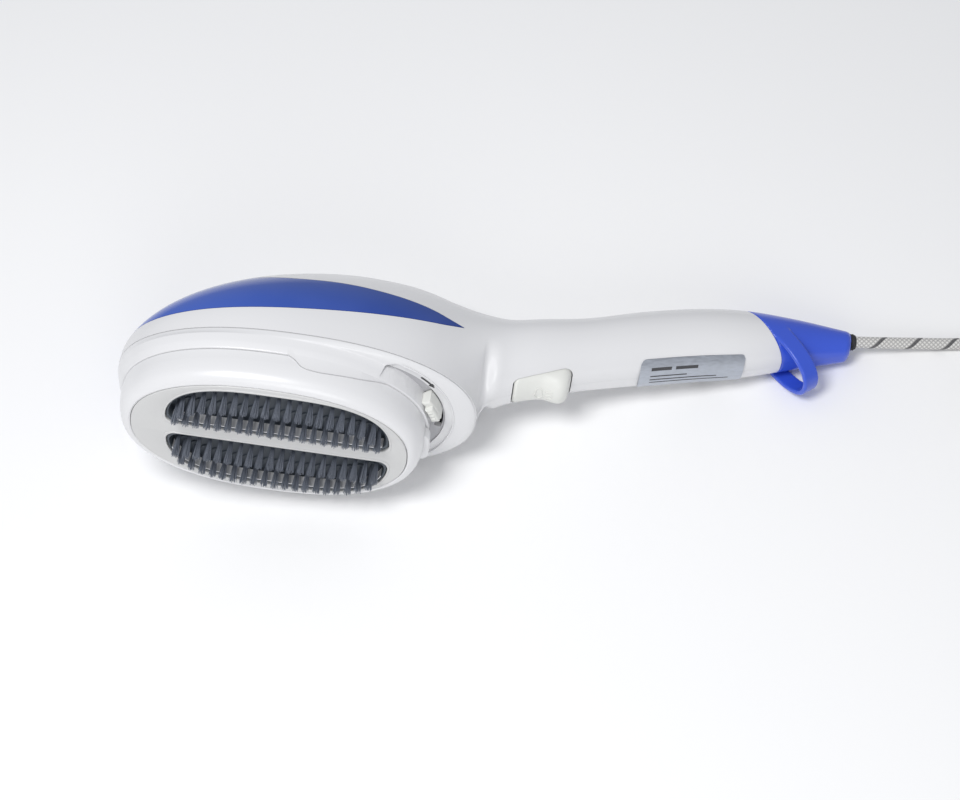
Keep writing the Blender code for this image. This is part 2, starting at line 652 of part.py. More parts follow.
def make_strip(side, name, slate):
    """One brush strip: a D-shaped tray with a flange behind the sole, and its tufts."""
    tray = prism(name, slot_outline(side, 0.4), "z", 0.5, STRIP_BACK, slate)
    flange = prism(f"{name}_flange", slot_outline(side, -1.0), "z", SOLE_THICK + GAP, 4.3)
    edge = prism(f"{name}_flange_edge", outline(-64.7, 64.7, 38.1, even_steps(24)), "z", 1.0, 6.0)
    boolean(flange, edge, "INTERSECT")
    boolean(tray, flange, "UNION")
    cut(tray, prism(f"{name}_hollow", slot_outline(side, 1.5), "z", -2.0, STRIP_FLOOR))
    cut(tray, *vents(f"{name}_vent", (side,)))
    bm = bmesh.new()
    length = STRIP_FLOOR + 0.7 - TUFT_TIP
    for x, y in tuft_places(side):
        made = bmesh.ops.create_cone(bm, cap_ends=True, segments=6, radius1=1.7, radius2=1.1, depth=length)
        bmesh.ops.translate(bm, verts=made["verts"], vec=(x, y, STRIP_FLOOR + 0.7 - length / 2))
    tufts = finish_mesh(f"{name}_tufts", bm, None, True)
    boolean(tray, tufts, "UNION")


# Trigger and pump


def under_point(x, angle, proud):
    """A point of the handle's skin at an angle from straight down, standing out downwards by an amount."""
    top, bottom = top_height(x), smooth(UNDER_LINE, x)
    mid, wide = smooth(MID_LINE, x), smooth(HALF_WIDTH, x)
    return (x, wide * math.sin(angle), mid - (mid - bottom + proud) * math.cos(angle))


def trigger_arc(x, half_angle, proud, steps=8):
    """Points across the handle's underside at x."""
    return [under_point(x, math.radians(half_angle * (2 * k / steps - 1)), proud) for k in range(steps + 1)]


def trigger_half(x, start):
    """Half the trigger's angle at x, when it is the start angle at its front."""
    return start + TRIGGER_WIDENS * (x - TRIGGER_FRONT) / (TRIGGER_REAR - TRIGGER_FRONT)


def between(arc, depth):
    """A closed section from an arc and the same arc raised."""
    return arc + [(x, y, z + depth) for x, y, z in reversed(arc)]


def trigger_opening():
    """The hole in the handle that the trigger moves in, a little wider than the trigger."""
    rings = [between(trigger_arc(x, trigger_half(x, TRIGGER_HALF_ANGLE + 1.3), 8.0), 20.0)
             for x in (TRIGGER_FRONT, 120, 128, 136, TRIGGER_REAR)]
    return loft("trigger_opening", rings)


def make_trigger(cream, steel):
    """The trigger, with ears for its pin and a post that pushes the pump's piston."""
    rings = [between(trigger_arc(x, trigger_half(x, TRIGGER_HALF_ANGLE), proud), proud + 2.6)
             for x, proud in TRIGGER_SHAPE]
    trigger = loft("steam_trigger", rings, cream, origin=TRIGGER_PIVOT)
    ears = box("trigger_ears", (112.9, -6, 51.6), (118.5, 6, 56.8))
    boolean(trigger, ears, "UNION")
    boolean(trigger, box("trigger_post", (131.5, -3, 54), (136.0, 3, PUMP_AT[2] - 5.8)), "UNION")
    cut(trigger, cylinder("trigger_bore", (TRIGGER_PIVOT[0], -9, TRIGGER_PIVOT[2]),
                          (TRIGGER_PIVOT[0], 9, TRIGGER_PIVOT[2]), 1.6, sides=16))
    cylinder("trigger_pin", (TRIGGER_PIVOT[0], -8.5, TRIGGER_PIVOT[2]),
             (TRIGGER_PIVOT[0], 8.5, TRIGGER_PIVOT[2]), 1.3, steel, sides=12)


def pump_point(along, x=0.0, y=0.0):
    """A point at a height along the pump's axis."""
    lean = math.radians(PUMP_LEAN)
    return (PUMP_AT[0] + along * math.sin(lean) + x * math.cos(lean), y,
            PUMP_AT[2] + along * math.cos(lean) - x * math.sin(lean))


def make_pump(white, steel, black):
    """The pump above the trigger: body, piston with its ring, and return spring."""
    body = cylinder("pump_body", pump_point(7.5), pump_point(25), 7.2, white, sides=20)
    cut(body, cylinder("pump_bore", pump_point(0), pump_point(22.5), 5.3, sides=20))
    cylinder("pump_piston", pump_point(-3.4), pump_point(11.0), 4.9, white, sides=16, origin=PUMP_AT)
    seal = cylinder("piston_seal", pump_point(11.3), pump_point(12.8), 5.15, black, sides=16)
    cut(seal, cylinder("piston_seal_bore", pump_point(0), pump_point(20), 2.4, sides=12))
    wound = [(13.6 + 8.2 * k / 48, math.tau * k / 12) for k in range(49)]
    spring = [pump_point(along, 3.4 * math.cos(a), 3.4 * math.sin(a)) for along, a in wound]
    body_wire("pump_spring", spring, 0.45, steel, 0)


# Inside the head


def make_steam_unit(aluminium, steel, black, cream, white):
    """The heated chamber on the deck behind the sole: it is closed by a lid and a gasket, and shielded."""
    deck = prism("steam_deck", outline(-71.4, 71.6, 44.2, even_steps(20)), "z", 18.4, 20.6, white)
    cut(deck, box("deck_opening", (-26, -19, 10), (42, 19, 30)))
    low, high, half = CHAMBER_X - CHAMBER_LONG / 2, CHAMBER_X + CHAMBER_LONG / 2, CHAMBER_HALF_WIDTH
    chamber = box("steam_chamber", (low, -half, CHAMBER_LOW), (high, half, CHAMBER_TOP), aluminium)
    cut(chamber, box("chamber_hollow", (low + 4, 4 - half, 15), (high - 4, half - 4, 40)))
    nozzle = box("nozzle_plate", (low - 4, -half - 4, STRIP_BACK + 0.6),
                 (high + 4, half + 4, CHAMBER_LOW - GAP), aluminium)
    lid = box("chamber_lid", (low, -half, CHAMBER_TOP + 1.6), (high, half, CHAMBER_TOP + 4), aluminium)
    gasket = box("chamber_gasket", (low, -half, CHAMBER_TOP + GAP), (high, half, CHAMBER_TOP + 1.3), black)
    cut(gasket, box("gasket_opening", (low + 4.5, -12.5, 26), (high - 4.5, 12.5, 36)))
    cut(lid, cylinder("lid_inlet", (24, 0, 20), (24, 0, 40), 2.4, sides=12))
    corners = [(x, y) for x in (low + 3, high - 3) for y in (-14.6, 14.6)]
    for number, (x, y) in enumerate(corners, 1):
        hole = cylinder(f"lid_hole_{number}", (x, y, 22), (x, y, 45), 1.6, sides=8)
        cut(lid, hole)
        cut(gasket, hole)
        cut(chamber, hole)
        screw(f"lid_screw_{number}", (x, y, 34), (x, y, 23), steel, 2.2, 1.2, 1.7)
    holes = vents("chamber_vent")
    cut(chamber, *holes)
    cut(nozzle, *holes)
    bend = [(low + 13 - 10 * math.sin(math.radians(a)), 10 * math.cos(math.radians(a)), 35)
            for a in range(0, 181, 20)]
    body_wire("heating_element", [(44, 10, 35), *bend, (44, -10, 35)], 2.6, steel, 2)
    cylinder("thermostat", (4, 0, 32.3), (4, 0, 39), 6.8, black, sides=20)
    cylinder("thermal_fuse", (-12.5, 0, 34.8), (-4.5, 0, 34.8), 2.0, white, sides=12)
    shield = box("heat_shield", (-29, -21.6, 20.9), (52, 21.6, 44), cream)
    cut(shield, box("shield_inside", (-27.8, -20.4, 10), (50.8, 20.4, 60)),
        box("shield_lead_gap", (40, -13, 30), (60, 13, 60)))


# Tail cap, cord exit and wiring


def cord_line(x):
    """The point at x on the line along which the cord leaves the tail cap."""
    start, end = Vector(CORD_LINE[0]), Vector(CORD_LINE[1])
    return start + (end - start) * (x - start.x) / (end.x - start.x)


def loop_ring(inset, offset):
    """One oval of the hanging loop, in the oblique plane moved towards the tail."""
    start, end, normal = oblique(offset, 0.0)
    along = (end - start).normalized()
    middle = start + along * (LOOP_LONG / 2 + LOOP_START)
    points = []
    for i in range(32):
        a = math.tau * i / 32
        u = (LOOP_LONG / 2 - inset) * math.cos(a)
        v = (LOOP_HALF_WIDTH - inset) * math.copysign(abs(math.sin(a)) ** 0.9, math.sin(a))
        place = middle + along * u
        points.append((place.x, v, place.y))
    return points


def make_tail(blue, rubber):
    """The tail cap with its hanging loop, and the bushing that the cord leaves through."""
    tail = whole_skin("tail_cap", 0.0, CAP_END_X, material=blue, lower=4, upper=8)
    cut(tail, beyond_oblique("cap_start", GAP, False))
    loop = loft("loop", [loop_ring(0, LOOP_NEAR), loop_ring(0, LOOP_FAR), loop_ring(LOOP_THICK, LOOP_FAR),
                         loop_ring(LOOP_THICK, LOOP_NEAR)], closed=True)
    boolean(tail, loop, "UNION")
    bore = loft("cap_bore", [cap_bore_ring(x) for x in (215, 225, 238, 250, 258)])
    cut(tail, bore, cylinder("cord_bore", cord_line(245), cord_line(295), BUSHING_RADIUS + GAP, sides=16))
    bush = cylinder("cord_bushing", cord_line(258), cord_line(CAP_END_X + BUSHING_PROUD), BUSHING_RADIUS,
                    rubber, sides=16, radius_end=BUSHING_RADIUS - 0.6)
    cut(bush, cylinder("bushing_bore", cord_line(250), cord_line(295), CORD_RADIUS + GAP, sides=16))


def cap_bore_ring(x):
    """The hollow of the tail cap, which leaves a wall inside its skin."""
    wide = max(smooth(HALF_WIDTH, x) - 3.0, 4.5)
    return [(x, wide * math.cos(math.tau * k / 20), smooth(MID_LINE, x) + wide * math.sin(math.tau * k / 20))
            for k in range(20)]


def make_wiring(black, red, cream, steel, sheath):
    """The terminal block, the leads to the heater, and the cord's inner end in its clamp."""
    block = box("terminal_block", (178, -7, 84.5), (196, 7, 93.5), cream, 0.8)
    for y in (-3.5, 3.5):
        cut(block, cylinder(f"terminal_bore_{y}", (170, y, 90), (204, y, 90), 1.9, sides=10))
    for side, name, colour in ((-1, "lead_live", red), (1, "lead_neutral", black)):
        route = ((186, side * 3.5, 90), (172, side * 4, 89), (156, side * 9, 84), (134, side * 11.5, 77),
                 (112, side * 11, 67), (94, side * 10.6, 55), (72, side * 10, 42), (56, side * 10, 36.4),
                 (44.6, side * 10, 35))
        body_wire(name, through(route, 3), 1.2, colour, 0)
    inner = [(261.4, -1.2, 107.5), (248, -0.8, 105.0), (234, 0, 101.6), (222, 0, 98.4), (206, 0, 94.8),
             (196.6, 0, 92.4)]
    body_wire("inner_cord", through(inner, 3), CORD_RADIUS, sheath, 1)
    clamp = box("cord_clamp", (224, -11.2, 93.8), (231, 11.2, 104.8), cream, 0.8)
    cut(clamp, cylinder("clamp_bore", (210, 0, 94.6), (246, 0, 104.6), CORD_RADIUS + 0.6, sides=16))
    for number, y in ((1, -8.5), (2, 8.5)):
        cut(clamp, cylinder(f"clamp_hole_{number}", (227.5, y, 80), (227.5, y, 120), 1.7, sides=10))
        screw(f"clamp_screw_{number}", (227.5, y, 106.8), (227.5, y, 92.2), steel, 2.4, 1.3, 1.7)
    for number, (x, z) in enumerate(HOUSING_SCREWS, 1):
        screw(f"housing_screw_{number}", (x, SCREW_HEAD_Y + 2.3, z), (x, -11, z), steel)


def make_tubes(silicone):
    """The tubes from the tank to the pump and from the pump to the chamber."""
    suction = ((73.4, 0, 55), (82, -2, 57), (94, -5, 64), (106, -5.5, 73), (114, -3, 78.5), (118.4, -1.5, 81))
    delivery = ((119.6, 3.4, 76.4), (112, 5.5, 71.5), (100, 6, 61), (84, 6, 50), (62, 4, 47.6), (40, 1, 46.6),
                (28, 0, 44.6), (24.3, 0, 40.6), (24, 0, 36.5), (24, 0, 31))
    body_wire("suction_tube", through(suction, 3), 1.9, silicone, 1)
    body_wire("delivery_tube", through(delivery, 2), 1.9, silicone, 1)
    outlet = cylinder("outlet_seal", (72.4, 0, 55), (75.4, 0, 55), 3.4, silicone, sides=16)
    cut(outlet, cylinder("outlet_seal_bore", (60, 0, 55), (90, 0, 55), 2.5, sides=14))


def make_cord(sheath, dark, brass):
    """The free cord, its coil with a tie round it, and the plug. They lie on the floor, off the stance."""
    others = set(bpy.data.objects)
    wire("mains_cord", through(CORD_ROUTE, 1), CORD_RADIUS, sheath, 2)
    x, y = COIL_AT
    half = COIL_COLUMNS * CORD_RADIUS
    high = COIL_LOW + 2 * CORD_RADIUS * COIL_LAYERS
    section = ((-half, COIL_LOW + 2), (-half + 2, COIL_LOW), (half - 2, COIL_LOW), (half, COIL_LOW + 2),
               (half, high - 2), (half - 2, high), (-half + 2, high), (-half, high - 2))
    rings = []
    for angle in [math.tau * k / 32 for k in range(32)]:
        rings.append([(x + (COIL_MIDDLE + u) * math.cos(angle), y + (COIL_MIDDLE + u) * math.sin(angle), z)
                      for u, z in section])
    loft("cord_coil", rings, sheath, closed=True)
    low, width, room = y - COIL_MIDDLE - half, TIE_HALF_WIDTH, 0.4
    outside = room + TIE_THICK
    tie = box("cord_tie", (x - width, low - outside, 0.1),
              (x + width, low + 2 * half + outside, high + outside), dark)
    cut(tie, box("tie_opening", (x - 3 * width, low - room, COIL_LOW - GAP),
                 (x + 3 * width, low + 2 * half + room, high + room)))
    make_plug(dark, brass)
    for piece in set(bpy.data.objects) - others:
        piece.parent = None


def make_plug(dark, brass):
    """A plain two-pin plug, with a tapered tail that the cord goes into."""
    back, middle, height = PLUG_AT
    front, wide = back + PLUG_LONG, PLUG_WIDE / 2
    tail = cylinder("plug_tail", PLUG_AT, (back + PLUG_TAIL, middle, height), 3.8, sides=16, radius_end=5.6)
    edge = [(back + 18, 6.5), (back + 24, 12.5), (back + 31, wide - 1), (front - 1, wide), (front, wide - 1)]
    shape = [(u, middle - v) for u, v in edge] + [(u, middle + v) for u, v in reversed(edge)]
    plug = prism("plug_body", shape, "z", height - PLUG_THICK / 2, height + PLUG_THICK / 2, dark)
    round_edges(plug, 2.0, 2)
    boolean(plug, tail, "UNION")
    for number, side in ((1, -1), (2, 1)):
        at = middle + side * PIN_SPACING / 2
        socket = cylinder(f"pin_socket_{number}", (front - 8, at, height), (front + 8, at, height),
                          PIN_RADIUS + GAP, sides=12)
        cut(plug, socket)
        cylinder(f"plug_pin_{number}", (front - 7, at, height), (front + PIN_LONG, at, height), PIN_RADIUS,
                 brass, sides=12)


def make_label(silver):
    """The rating label, a thin plate in the curve of the handle's underside."""
    rings = []
    for x in [LABEL_FRONT + LABEL_LONG * k / 8 for k in range(9)]:
        low, high = (trigger_arc(x, LABEL_HALF_ANGLE, proud) for proud in (1.3, 0.75))
        rings.append(low + list(reversed(high)))
    loft("rating_label", rings, silver)


def build():
    global PARTS, CUTTERS, STANCE
    clear_scene()
    PARTS = new_collection("steamer_brush")
    CUTTERS = new_collection("cutters")
    STANCE = bpy.data.objects.new("stance", None)
    PARTS.objects.link(STANCE)
    pitch, roll = Matrix.Rotation(math.radians(PITCH), 4, "Y"), Matrix.Rotation(math.radians(ROLL), 4, "X")
    STANCE.matrix_world = Matrix.Translation(Vector(STANCE_AT) * MM) @ pitch @ roll
    white = new_material("white_plastic", (0.82, 0.83, 0.85), 0.25)
    blue = new_material("blue_plastic", (0.04, 0.08, 0.55), 0.3)
    window_blue = new_material("window_blue", (0.04, 0.09, 0.45), 0.1)
    grey = new_material("sole_grey", (0.6, 0.6, 0.58), 0.35)
    cream = new_material("cream_plastic", (0.78, 0.79, 0.73), 0.35)
    slate = new_material("slate_nylon", (0.06, 0.07, 0.09), 0.5)
    steel = new_material("steel", (0.6, 0.6, 0.6), 0.3, 1.0)
    aluminium = new_material("aluminium", (0.7, 0.7, 0.72), 0.4, 1.0)
    black = new_material("black_rubber", (0.02, 0.02, 0.02), 0.7)
    clear = new_material("clear_plastic", (0.7, 0.75, 0.85), 0.1)
    red = new_material("red_lead", (0.5, 0.03, 0.02), 0.4)
    silicone = new_material("silicone", (0.75, 0.78, 0.8), 0.3)
    braid = new_material("cord_braid", (0.7, 0.7, 0.68), 0.8)
    silver = new_material("silver_label", (0.6, 0.62, 0.65), 0.3, 0.8)
    make_housing(white)
    make_window(window_blue)
    make_tank(clear)
    make_filler(black, white)
    make_base(white)
    make_cover(white, grey)
    make_strip(-1, "brush_strip_left", slate)
    make_strip(1, "brush_strip_right", slate)
    make_lock(cream)
    make_trigger(cream, steel)
    make_pump(cream, steel, black)
    make_steam_unit(aluminium, steel, black, cream, white)
    make_tail(blue, black)
    make_wiring(black, red, cream, steel, black)
    make_tubes(silicone)
    make_label(silver)
    make_cord(braid, black, steel)


build()
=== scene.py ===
"""Looks of a handheld steamer brush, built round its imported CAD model.

Shapes are written in millimetres in the steamer's own frame: x from nose to tail, y across, z up from the
sole. STANCE lays them on the floor, as the CAD lies. The cord, its coil and the plug are written on the
floor's axes.
"""

import json
import random
from math import asin, copysign, cos, hypot, pi, radians, sin, sqrt, tau

import bmesh
import bpy
from mathutils import Matrix, Vector
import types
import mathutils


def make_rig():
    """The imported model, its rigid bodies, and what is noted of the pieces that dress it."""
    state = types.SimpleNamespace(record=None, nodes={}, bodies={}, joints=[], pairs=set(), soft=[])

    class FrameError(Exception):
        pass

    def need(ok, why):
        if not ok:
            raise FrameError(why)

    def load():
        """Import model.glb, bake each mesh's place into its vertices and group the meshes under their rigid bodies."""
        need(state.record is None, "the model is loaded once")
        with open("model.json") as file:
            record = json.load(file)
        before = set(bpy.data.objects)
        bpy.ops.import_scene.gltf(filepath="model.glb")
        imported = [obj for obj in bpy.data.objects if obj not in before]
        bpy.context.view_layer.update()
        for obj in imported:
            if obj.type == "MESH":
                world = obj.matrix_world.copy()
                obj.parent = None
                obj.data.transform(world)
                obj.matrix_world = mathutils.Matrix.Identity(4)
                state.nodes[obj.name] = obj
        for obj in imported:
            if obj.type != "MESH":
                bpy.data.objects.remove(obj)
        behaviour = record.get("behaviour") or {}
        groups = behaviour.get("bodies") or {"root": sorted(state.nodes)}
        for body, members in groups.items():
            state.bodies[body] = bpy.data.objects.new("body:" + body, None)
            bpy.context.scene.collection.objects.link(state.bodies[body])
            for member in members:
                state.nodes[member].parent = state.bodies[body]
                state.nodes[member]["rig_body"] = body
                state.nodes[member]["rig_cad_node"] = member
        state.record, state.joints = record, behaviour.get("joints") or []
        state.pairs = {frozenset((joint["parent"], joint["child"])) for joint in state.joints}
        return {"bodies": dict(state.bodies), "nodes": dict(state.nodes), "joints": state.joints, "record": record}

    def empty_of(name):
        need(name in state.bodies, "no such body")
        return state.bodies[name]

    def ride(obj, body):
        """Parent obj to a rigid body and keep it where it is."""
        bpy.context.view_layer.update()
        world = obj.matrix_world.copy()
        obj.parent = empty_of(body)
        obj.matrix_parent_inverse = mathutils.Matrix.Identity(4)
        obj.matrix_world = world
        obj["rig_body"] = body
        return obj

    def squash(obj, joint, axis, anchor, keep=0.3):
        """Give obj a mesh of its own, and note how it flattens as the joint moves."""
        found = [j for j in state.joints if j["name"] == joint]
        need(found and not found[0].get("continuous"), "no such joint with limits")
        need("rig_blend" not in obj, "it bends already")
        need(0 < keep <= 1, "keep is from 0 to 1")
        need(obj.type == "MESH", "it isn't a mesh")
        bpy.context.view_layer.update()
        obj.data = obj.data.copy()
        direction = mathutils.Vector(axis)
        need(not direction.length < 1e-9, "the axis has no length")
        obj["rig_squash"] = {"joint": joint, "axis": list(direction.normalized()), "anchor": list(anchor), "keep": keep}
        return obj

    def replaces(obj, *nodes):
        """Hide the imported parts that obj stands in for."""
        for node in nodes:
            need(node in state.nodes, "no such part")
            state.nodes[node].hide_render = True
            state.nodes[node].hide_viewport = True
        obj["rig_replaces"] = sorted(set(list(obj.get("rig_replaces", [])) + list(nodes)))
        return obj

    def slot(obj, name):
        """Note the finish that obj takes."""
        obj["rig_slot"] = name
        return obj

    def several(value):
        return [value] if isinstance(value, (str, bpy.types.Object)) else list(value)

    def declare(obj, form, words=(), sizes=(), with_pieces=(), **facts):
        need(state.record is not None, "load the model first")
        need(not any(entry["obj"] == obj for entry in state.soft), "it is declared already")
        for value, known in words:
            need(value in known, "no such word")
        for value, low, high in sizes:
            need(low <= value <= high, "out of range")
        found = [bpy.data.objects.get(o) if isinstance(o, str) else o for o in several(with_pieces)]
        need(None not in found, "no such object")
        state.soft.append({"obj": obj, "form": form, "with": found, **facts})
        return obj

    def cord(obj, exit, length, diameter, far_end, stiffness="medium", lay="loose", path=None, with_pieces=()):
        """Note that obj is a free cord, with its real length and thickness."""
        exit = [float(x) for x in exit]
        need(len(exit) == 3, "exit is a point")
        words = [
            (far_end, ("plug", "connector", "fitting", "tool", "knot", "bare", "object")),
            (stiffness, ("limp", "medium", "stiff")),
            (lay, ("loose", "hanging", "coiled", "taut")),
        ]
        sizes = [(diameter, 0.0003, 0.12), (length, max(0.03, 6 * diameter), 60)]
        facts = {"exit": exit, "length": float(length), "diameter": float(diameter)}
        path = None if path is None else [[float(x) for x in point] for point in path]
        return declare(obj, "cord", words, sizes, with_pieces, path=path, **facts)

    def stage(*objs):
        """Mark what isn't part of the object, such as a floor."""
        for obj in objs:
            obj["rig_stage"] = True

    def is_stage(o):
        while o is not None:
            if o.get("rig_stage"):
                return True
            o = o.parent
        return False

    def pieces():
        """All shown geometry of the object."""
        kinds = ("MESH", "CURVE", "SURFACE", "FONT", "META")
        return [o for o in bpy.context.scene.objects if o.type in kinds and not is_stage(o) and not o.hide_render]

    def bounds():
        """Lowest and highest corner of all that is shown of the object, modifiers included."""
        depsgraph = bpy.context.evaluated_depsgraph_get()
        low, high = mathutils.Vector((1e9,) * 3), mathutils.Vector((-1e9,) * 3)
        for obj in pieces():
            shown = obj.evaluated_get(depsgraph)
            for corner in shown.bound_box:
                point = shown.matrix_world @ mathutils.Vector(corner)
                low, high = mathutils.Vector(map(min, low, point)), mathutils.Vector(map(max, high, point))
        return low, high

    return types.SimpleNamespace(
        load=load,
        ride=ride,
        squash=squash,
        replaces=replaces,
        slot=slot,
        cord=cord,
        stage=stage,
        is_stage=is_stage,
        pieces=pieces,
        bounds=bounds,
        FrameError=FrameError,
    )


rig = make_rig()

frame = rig.load()
cad_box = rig.bounds()

MM = 0.001
GAP = 0.3


def joint(name):
    return next(j for j in frame["joints"] if j["name"] == name)


# The steamer's own axes, read from the joints: the cover's hinge lies along y and the lock turns about z
AXIS_Y = Vector(joint("cover_hinge")["axis"])
AXIS_Z = Vector(joint("lock_slide")["axis"])
AXIS_X = AXIS_Y.cross(AXIS_Z)
LOCK_CENTRE = (44.0, 0.0, 28.0)
ORIGIN = Vector(joint("lock_slide")["pos_m"]) - MM * (LOCK_CENTRE[0] * AXIS_X + LOCK_CENTRE[2] * AXIS_Z)
STANCE = (Matrix.Translation(ORIGIN) @ Matrix((AXIS_X, AXIS_Y, AXIS_Z)).transposed().to_4x4()
          @ Matrix.Scale(MM, 4))
FLOOR = Matrix.Scale(MM, 4)

# Measures shared with the CAD
SEAM_Z = 29.0
SEAM_NOSE = -78.55
SEAM_REAR = 97.25
SEAM_MIDDLE = (SEAM_NOSE + SEAM_REAR) / 2
SEAM_HALF_LENGTH = (SEAM_REAR - SEAM_NOSE) / 2
SEAM_POWER = 2.25
WALL = 2.2
CREST_X = 38.0
CREST_Z = 95.0
DOME_POWER = 1.75
MID_LINE = ((-80, 33), (40, 33), (62, 37), (76, 45), (87, 54), (97, 61.5), (107, 67), (124, 72.9), (145, 79),
            (174, 88.1), (203, 95.8), (225, 100), (251, 104.4), (282, 108.2))
HALF_WIDTH = ((72, 37.2), (80, 32.8), (88, 28.4), (97, 24.3), (107, 21.3), (124, 19.5), (145, 17.9),
              (174, 18.1), (203, 17.8), (225, 16.6), (251, 12.6), (276, 7.9), (282, 7.0))
TOP_LINE = ((CREST_X, CREST_Z), (55, 95), (66, 94), (78, 92), (93, 90), (107, 89), (124, 92.9), (145, 97.7),
            (174, 107.1), (203, 114.3), (225, 117.2), (251, 117.3), (276, 115.8), (282, 115.4))
UNDER_LINE = ((97.25, 29.15), (98.6, 35), (101, 40), (107, 45), (115, 48.9), (124, 52.4), (145, 60.3),
              (174, 69.2), (203, 77.3), (225, 82.9), (251, 91.6), (276, 99.8), (282, 101.5))
OBLIQUE_TOP = (222.0, 116.0)
OBLIQUE_LOW = (248.0, 86.0)
CAP_END_X = 279.5
LOOP_LONG = 45.5
LOOP_HALF_WIDTH = 14.4
LOOP_START = 8.0
LOOP_NEAR = 0.9
LOOP_FAR = 9.8
LOOP_THICK = 2.6
CORD_RADIUS = 3.0
SOLE_LONG = 66.9
SOLE_HALF_WIDTH = 39.7
SOLE_THICK = 2.2
COVER_LONG = 74.1
COVER_HALF_WIDTH = 46.8
COVER_TOP = 17.0
RECESS_RADIUS = 38.2
SLOT_FRONT = -50.0
SLOT_REAR = 58.0
SLOT_MIDDLE = (SLOT_FRONT + SLOT_REAR) / 2
SLOT_HALF_LENGTH = (SLOT_REAR - SLOT_FRONT) / 2
SLOT_INNER = 4.2
SLOT_OUTER = 36.0
STRIP_FLOOR = 8.0
STRIP_BACK = 9.4
TUFT_PITCH = 5.1
TUFT_TIP = -6.7
TUFT_ROW = 13.2
TRIGGER_FRONT = 112.5
TRIGGER_REAR = 141.6
TRIGGER_PIN = (115.5, 53.5)
PUMP_AT = (134.0, 0.0, 64.6)
PUMP_LEAN = radians(-22.0)
FILLER_X = 30.0
FILLER_RADIUS = 9.0
LOCK_STEM_RADIUS = 35.4
LOCK_AT = -26.0
LOCK_HALF = 11.0
LOCK_TRAVEL = 26.0
CORD_LINE = ((262.0, -1.2, 107.6), (282.0, -1.2, 110.6))
BUSHING_RADIUS = 4.3
SCREW_WELLS = ((160.0, 72.5), (208.0, 85.5))
WINDOW_HIGH = ((86, 62.5), (70, 66.0), (50, 68.0), (24, 69.5), (0, 69.5), (-18, 71.5), (-30, 77.0),
               (-40, 95.0))

# Measures that differ a little from the CAD's, or that only the looks have
SEAM_HALF_WIDTH = 49.15
WINDOW_LOW = ((-90, 38.5), (-70, 39.0), (-45, 40.2), (0, 44.0), (40, 49.5), (70, 56.5), (86, 62.5))
TRIGGER_SHAPE = ((113.2, 0.4), (114.5, 1.2), (118, 1.4), (123, 1.6), (127.5, 2.6), (131.5, 5.0), (135, 7.2),
                 (137.6, 7.6), (139.6, 6.4), (140.9, 4.4))
TRIGGER_ROOM = 0.45
TERRACE_RADIUS = 42.0
TERRACE_Z = 26.9
BEAD_RADIUS = 42.4
CAP_ROUND = 3.2
LOOP_WEB = 2.0
FILAMENTS = 30
FILAMENT_RADIUS = 0.18
GOLDEN_ANGLE = 2.39996
TUFT_LEAN = 2.6
TUFT_SHIFT = 1.4
SKIN_LOWER = 12
SKIN_UPPER = 30


# Numbers and outlines


def smooth(table, x):
    """The value at x on a smooth curve through the table's points."""
    if x <= table[0][0]:
        return table[0][1]
    if x >= table[-1][0]:
        return table[-1][1]
    slopes = [(b[1] - a[1]) / (b[0] - a[0]) for a, b in zip(table, table[1:])]
    i = next(k for k in range(len(slopes)) if x <= table[k + 1][0])
    (x0, y0), (x1, y1) = table[i], table[i + 1]
    before = slopes[i] if i == 0 else (slopes[i - 1] + slopes[i]) / 2
    after = slopes[i] if i == len(slopes) - 1 else (slopes[i] + slopes[i + 1]) / 2
    span = x1 - x0
    u = (x - x0) / span
    return ((2 * u**3 - 3 * u**2 + 1) * y0 + (u**3 - 2 * u**2 + u) * span * before
            + (3 * u**2 - 2 * u**3) * y1 + (u**3 - u**2) * span * after)


def ease(low, high, x):
    """0 below low, 1 above high, and smooth between."""
    t = min(max((x - low) / (high - low), 0.0), 1.0)
    return t * t * (3 - 2 * t)


def fade(low, high, x):
    """1 below low, 0 above high, and smooth between."""
    return ease(low, high, low + high - x)


def signed_power(value, power):
    """The value's size raised to a power, with its sign kept, as superellipses need."""
    return copysign(abs(value) ** power, value)


def about_lock(radius, angle):
    """The (x, y) point at a radius and an angle, in radians, about the lock's axis."""
    return (LOCK_CENTRE[0] + radius * cos(angle), radius * sin(angle))


def through(points, steps):
    """A smooth line through the points, with this many steps in each span."""
    points = [Vector(p) for p in points]
    ends = [2 * points[0] - points[1], *points, 2 * points[-1] - points[-2]]
    line = []
    for a, b, c, d in zip(ends, ends[1:], ends[2:], ends[3:]):
        for k in range(steps):
            t = k / steps
            line.append(0.5 * (2 * b + (c - a) * t + (2 * a - 5 * b + 4 * c - d) * t**2
                               + (3 * b - a - 3 * c + d) * t**3))
    return line + [points[-1]]


def crowded_shares(count):
    """Shares of a half length from near -1 to near 1, crowded towards both ends."""
    return [-cos(radians(1.2 + 177.6 * k / (count - 1))) for k in range(count)]


def outline(nose, rear, half_width, count=120):
    """Points round the head's plan outline."""
    middle, half_length = (nose + rear) / 2, (rear - nose) / 2
    near = [(middle + half_length * u, -half_width * (1 - abs(u) ** SEAM_POWER) ** (1 / SEAM_POWER))
            for u in crowded_shares(count)]
    return near + [(x, -y) for x, y in reversed(near)]


# Meshes


def piece(name, bm, material, body, slot, replaces=(), place=STANCE, angle=35):
    """A finished piece from a mesh in millimetres, riding on a body."""
    obj = raw(name, bm, place)
    return dress(obj, material, body, slot, replaces, angle)


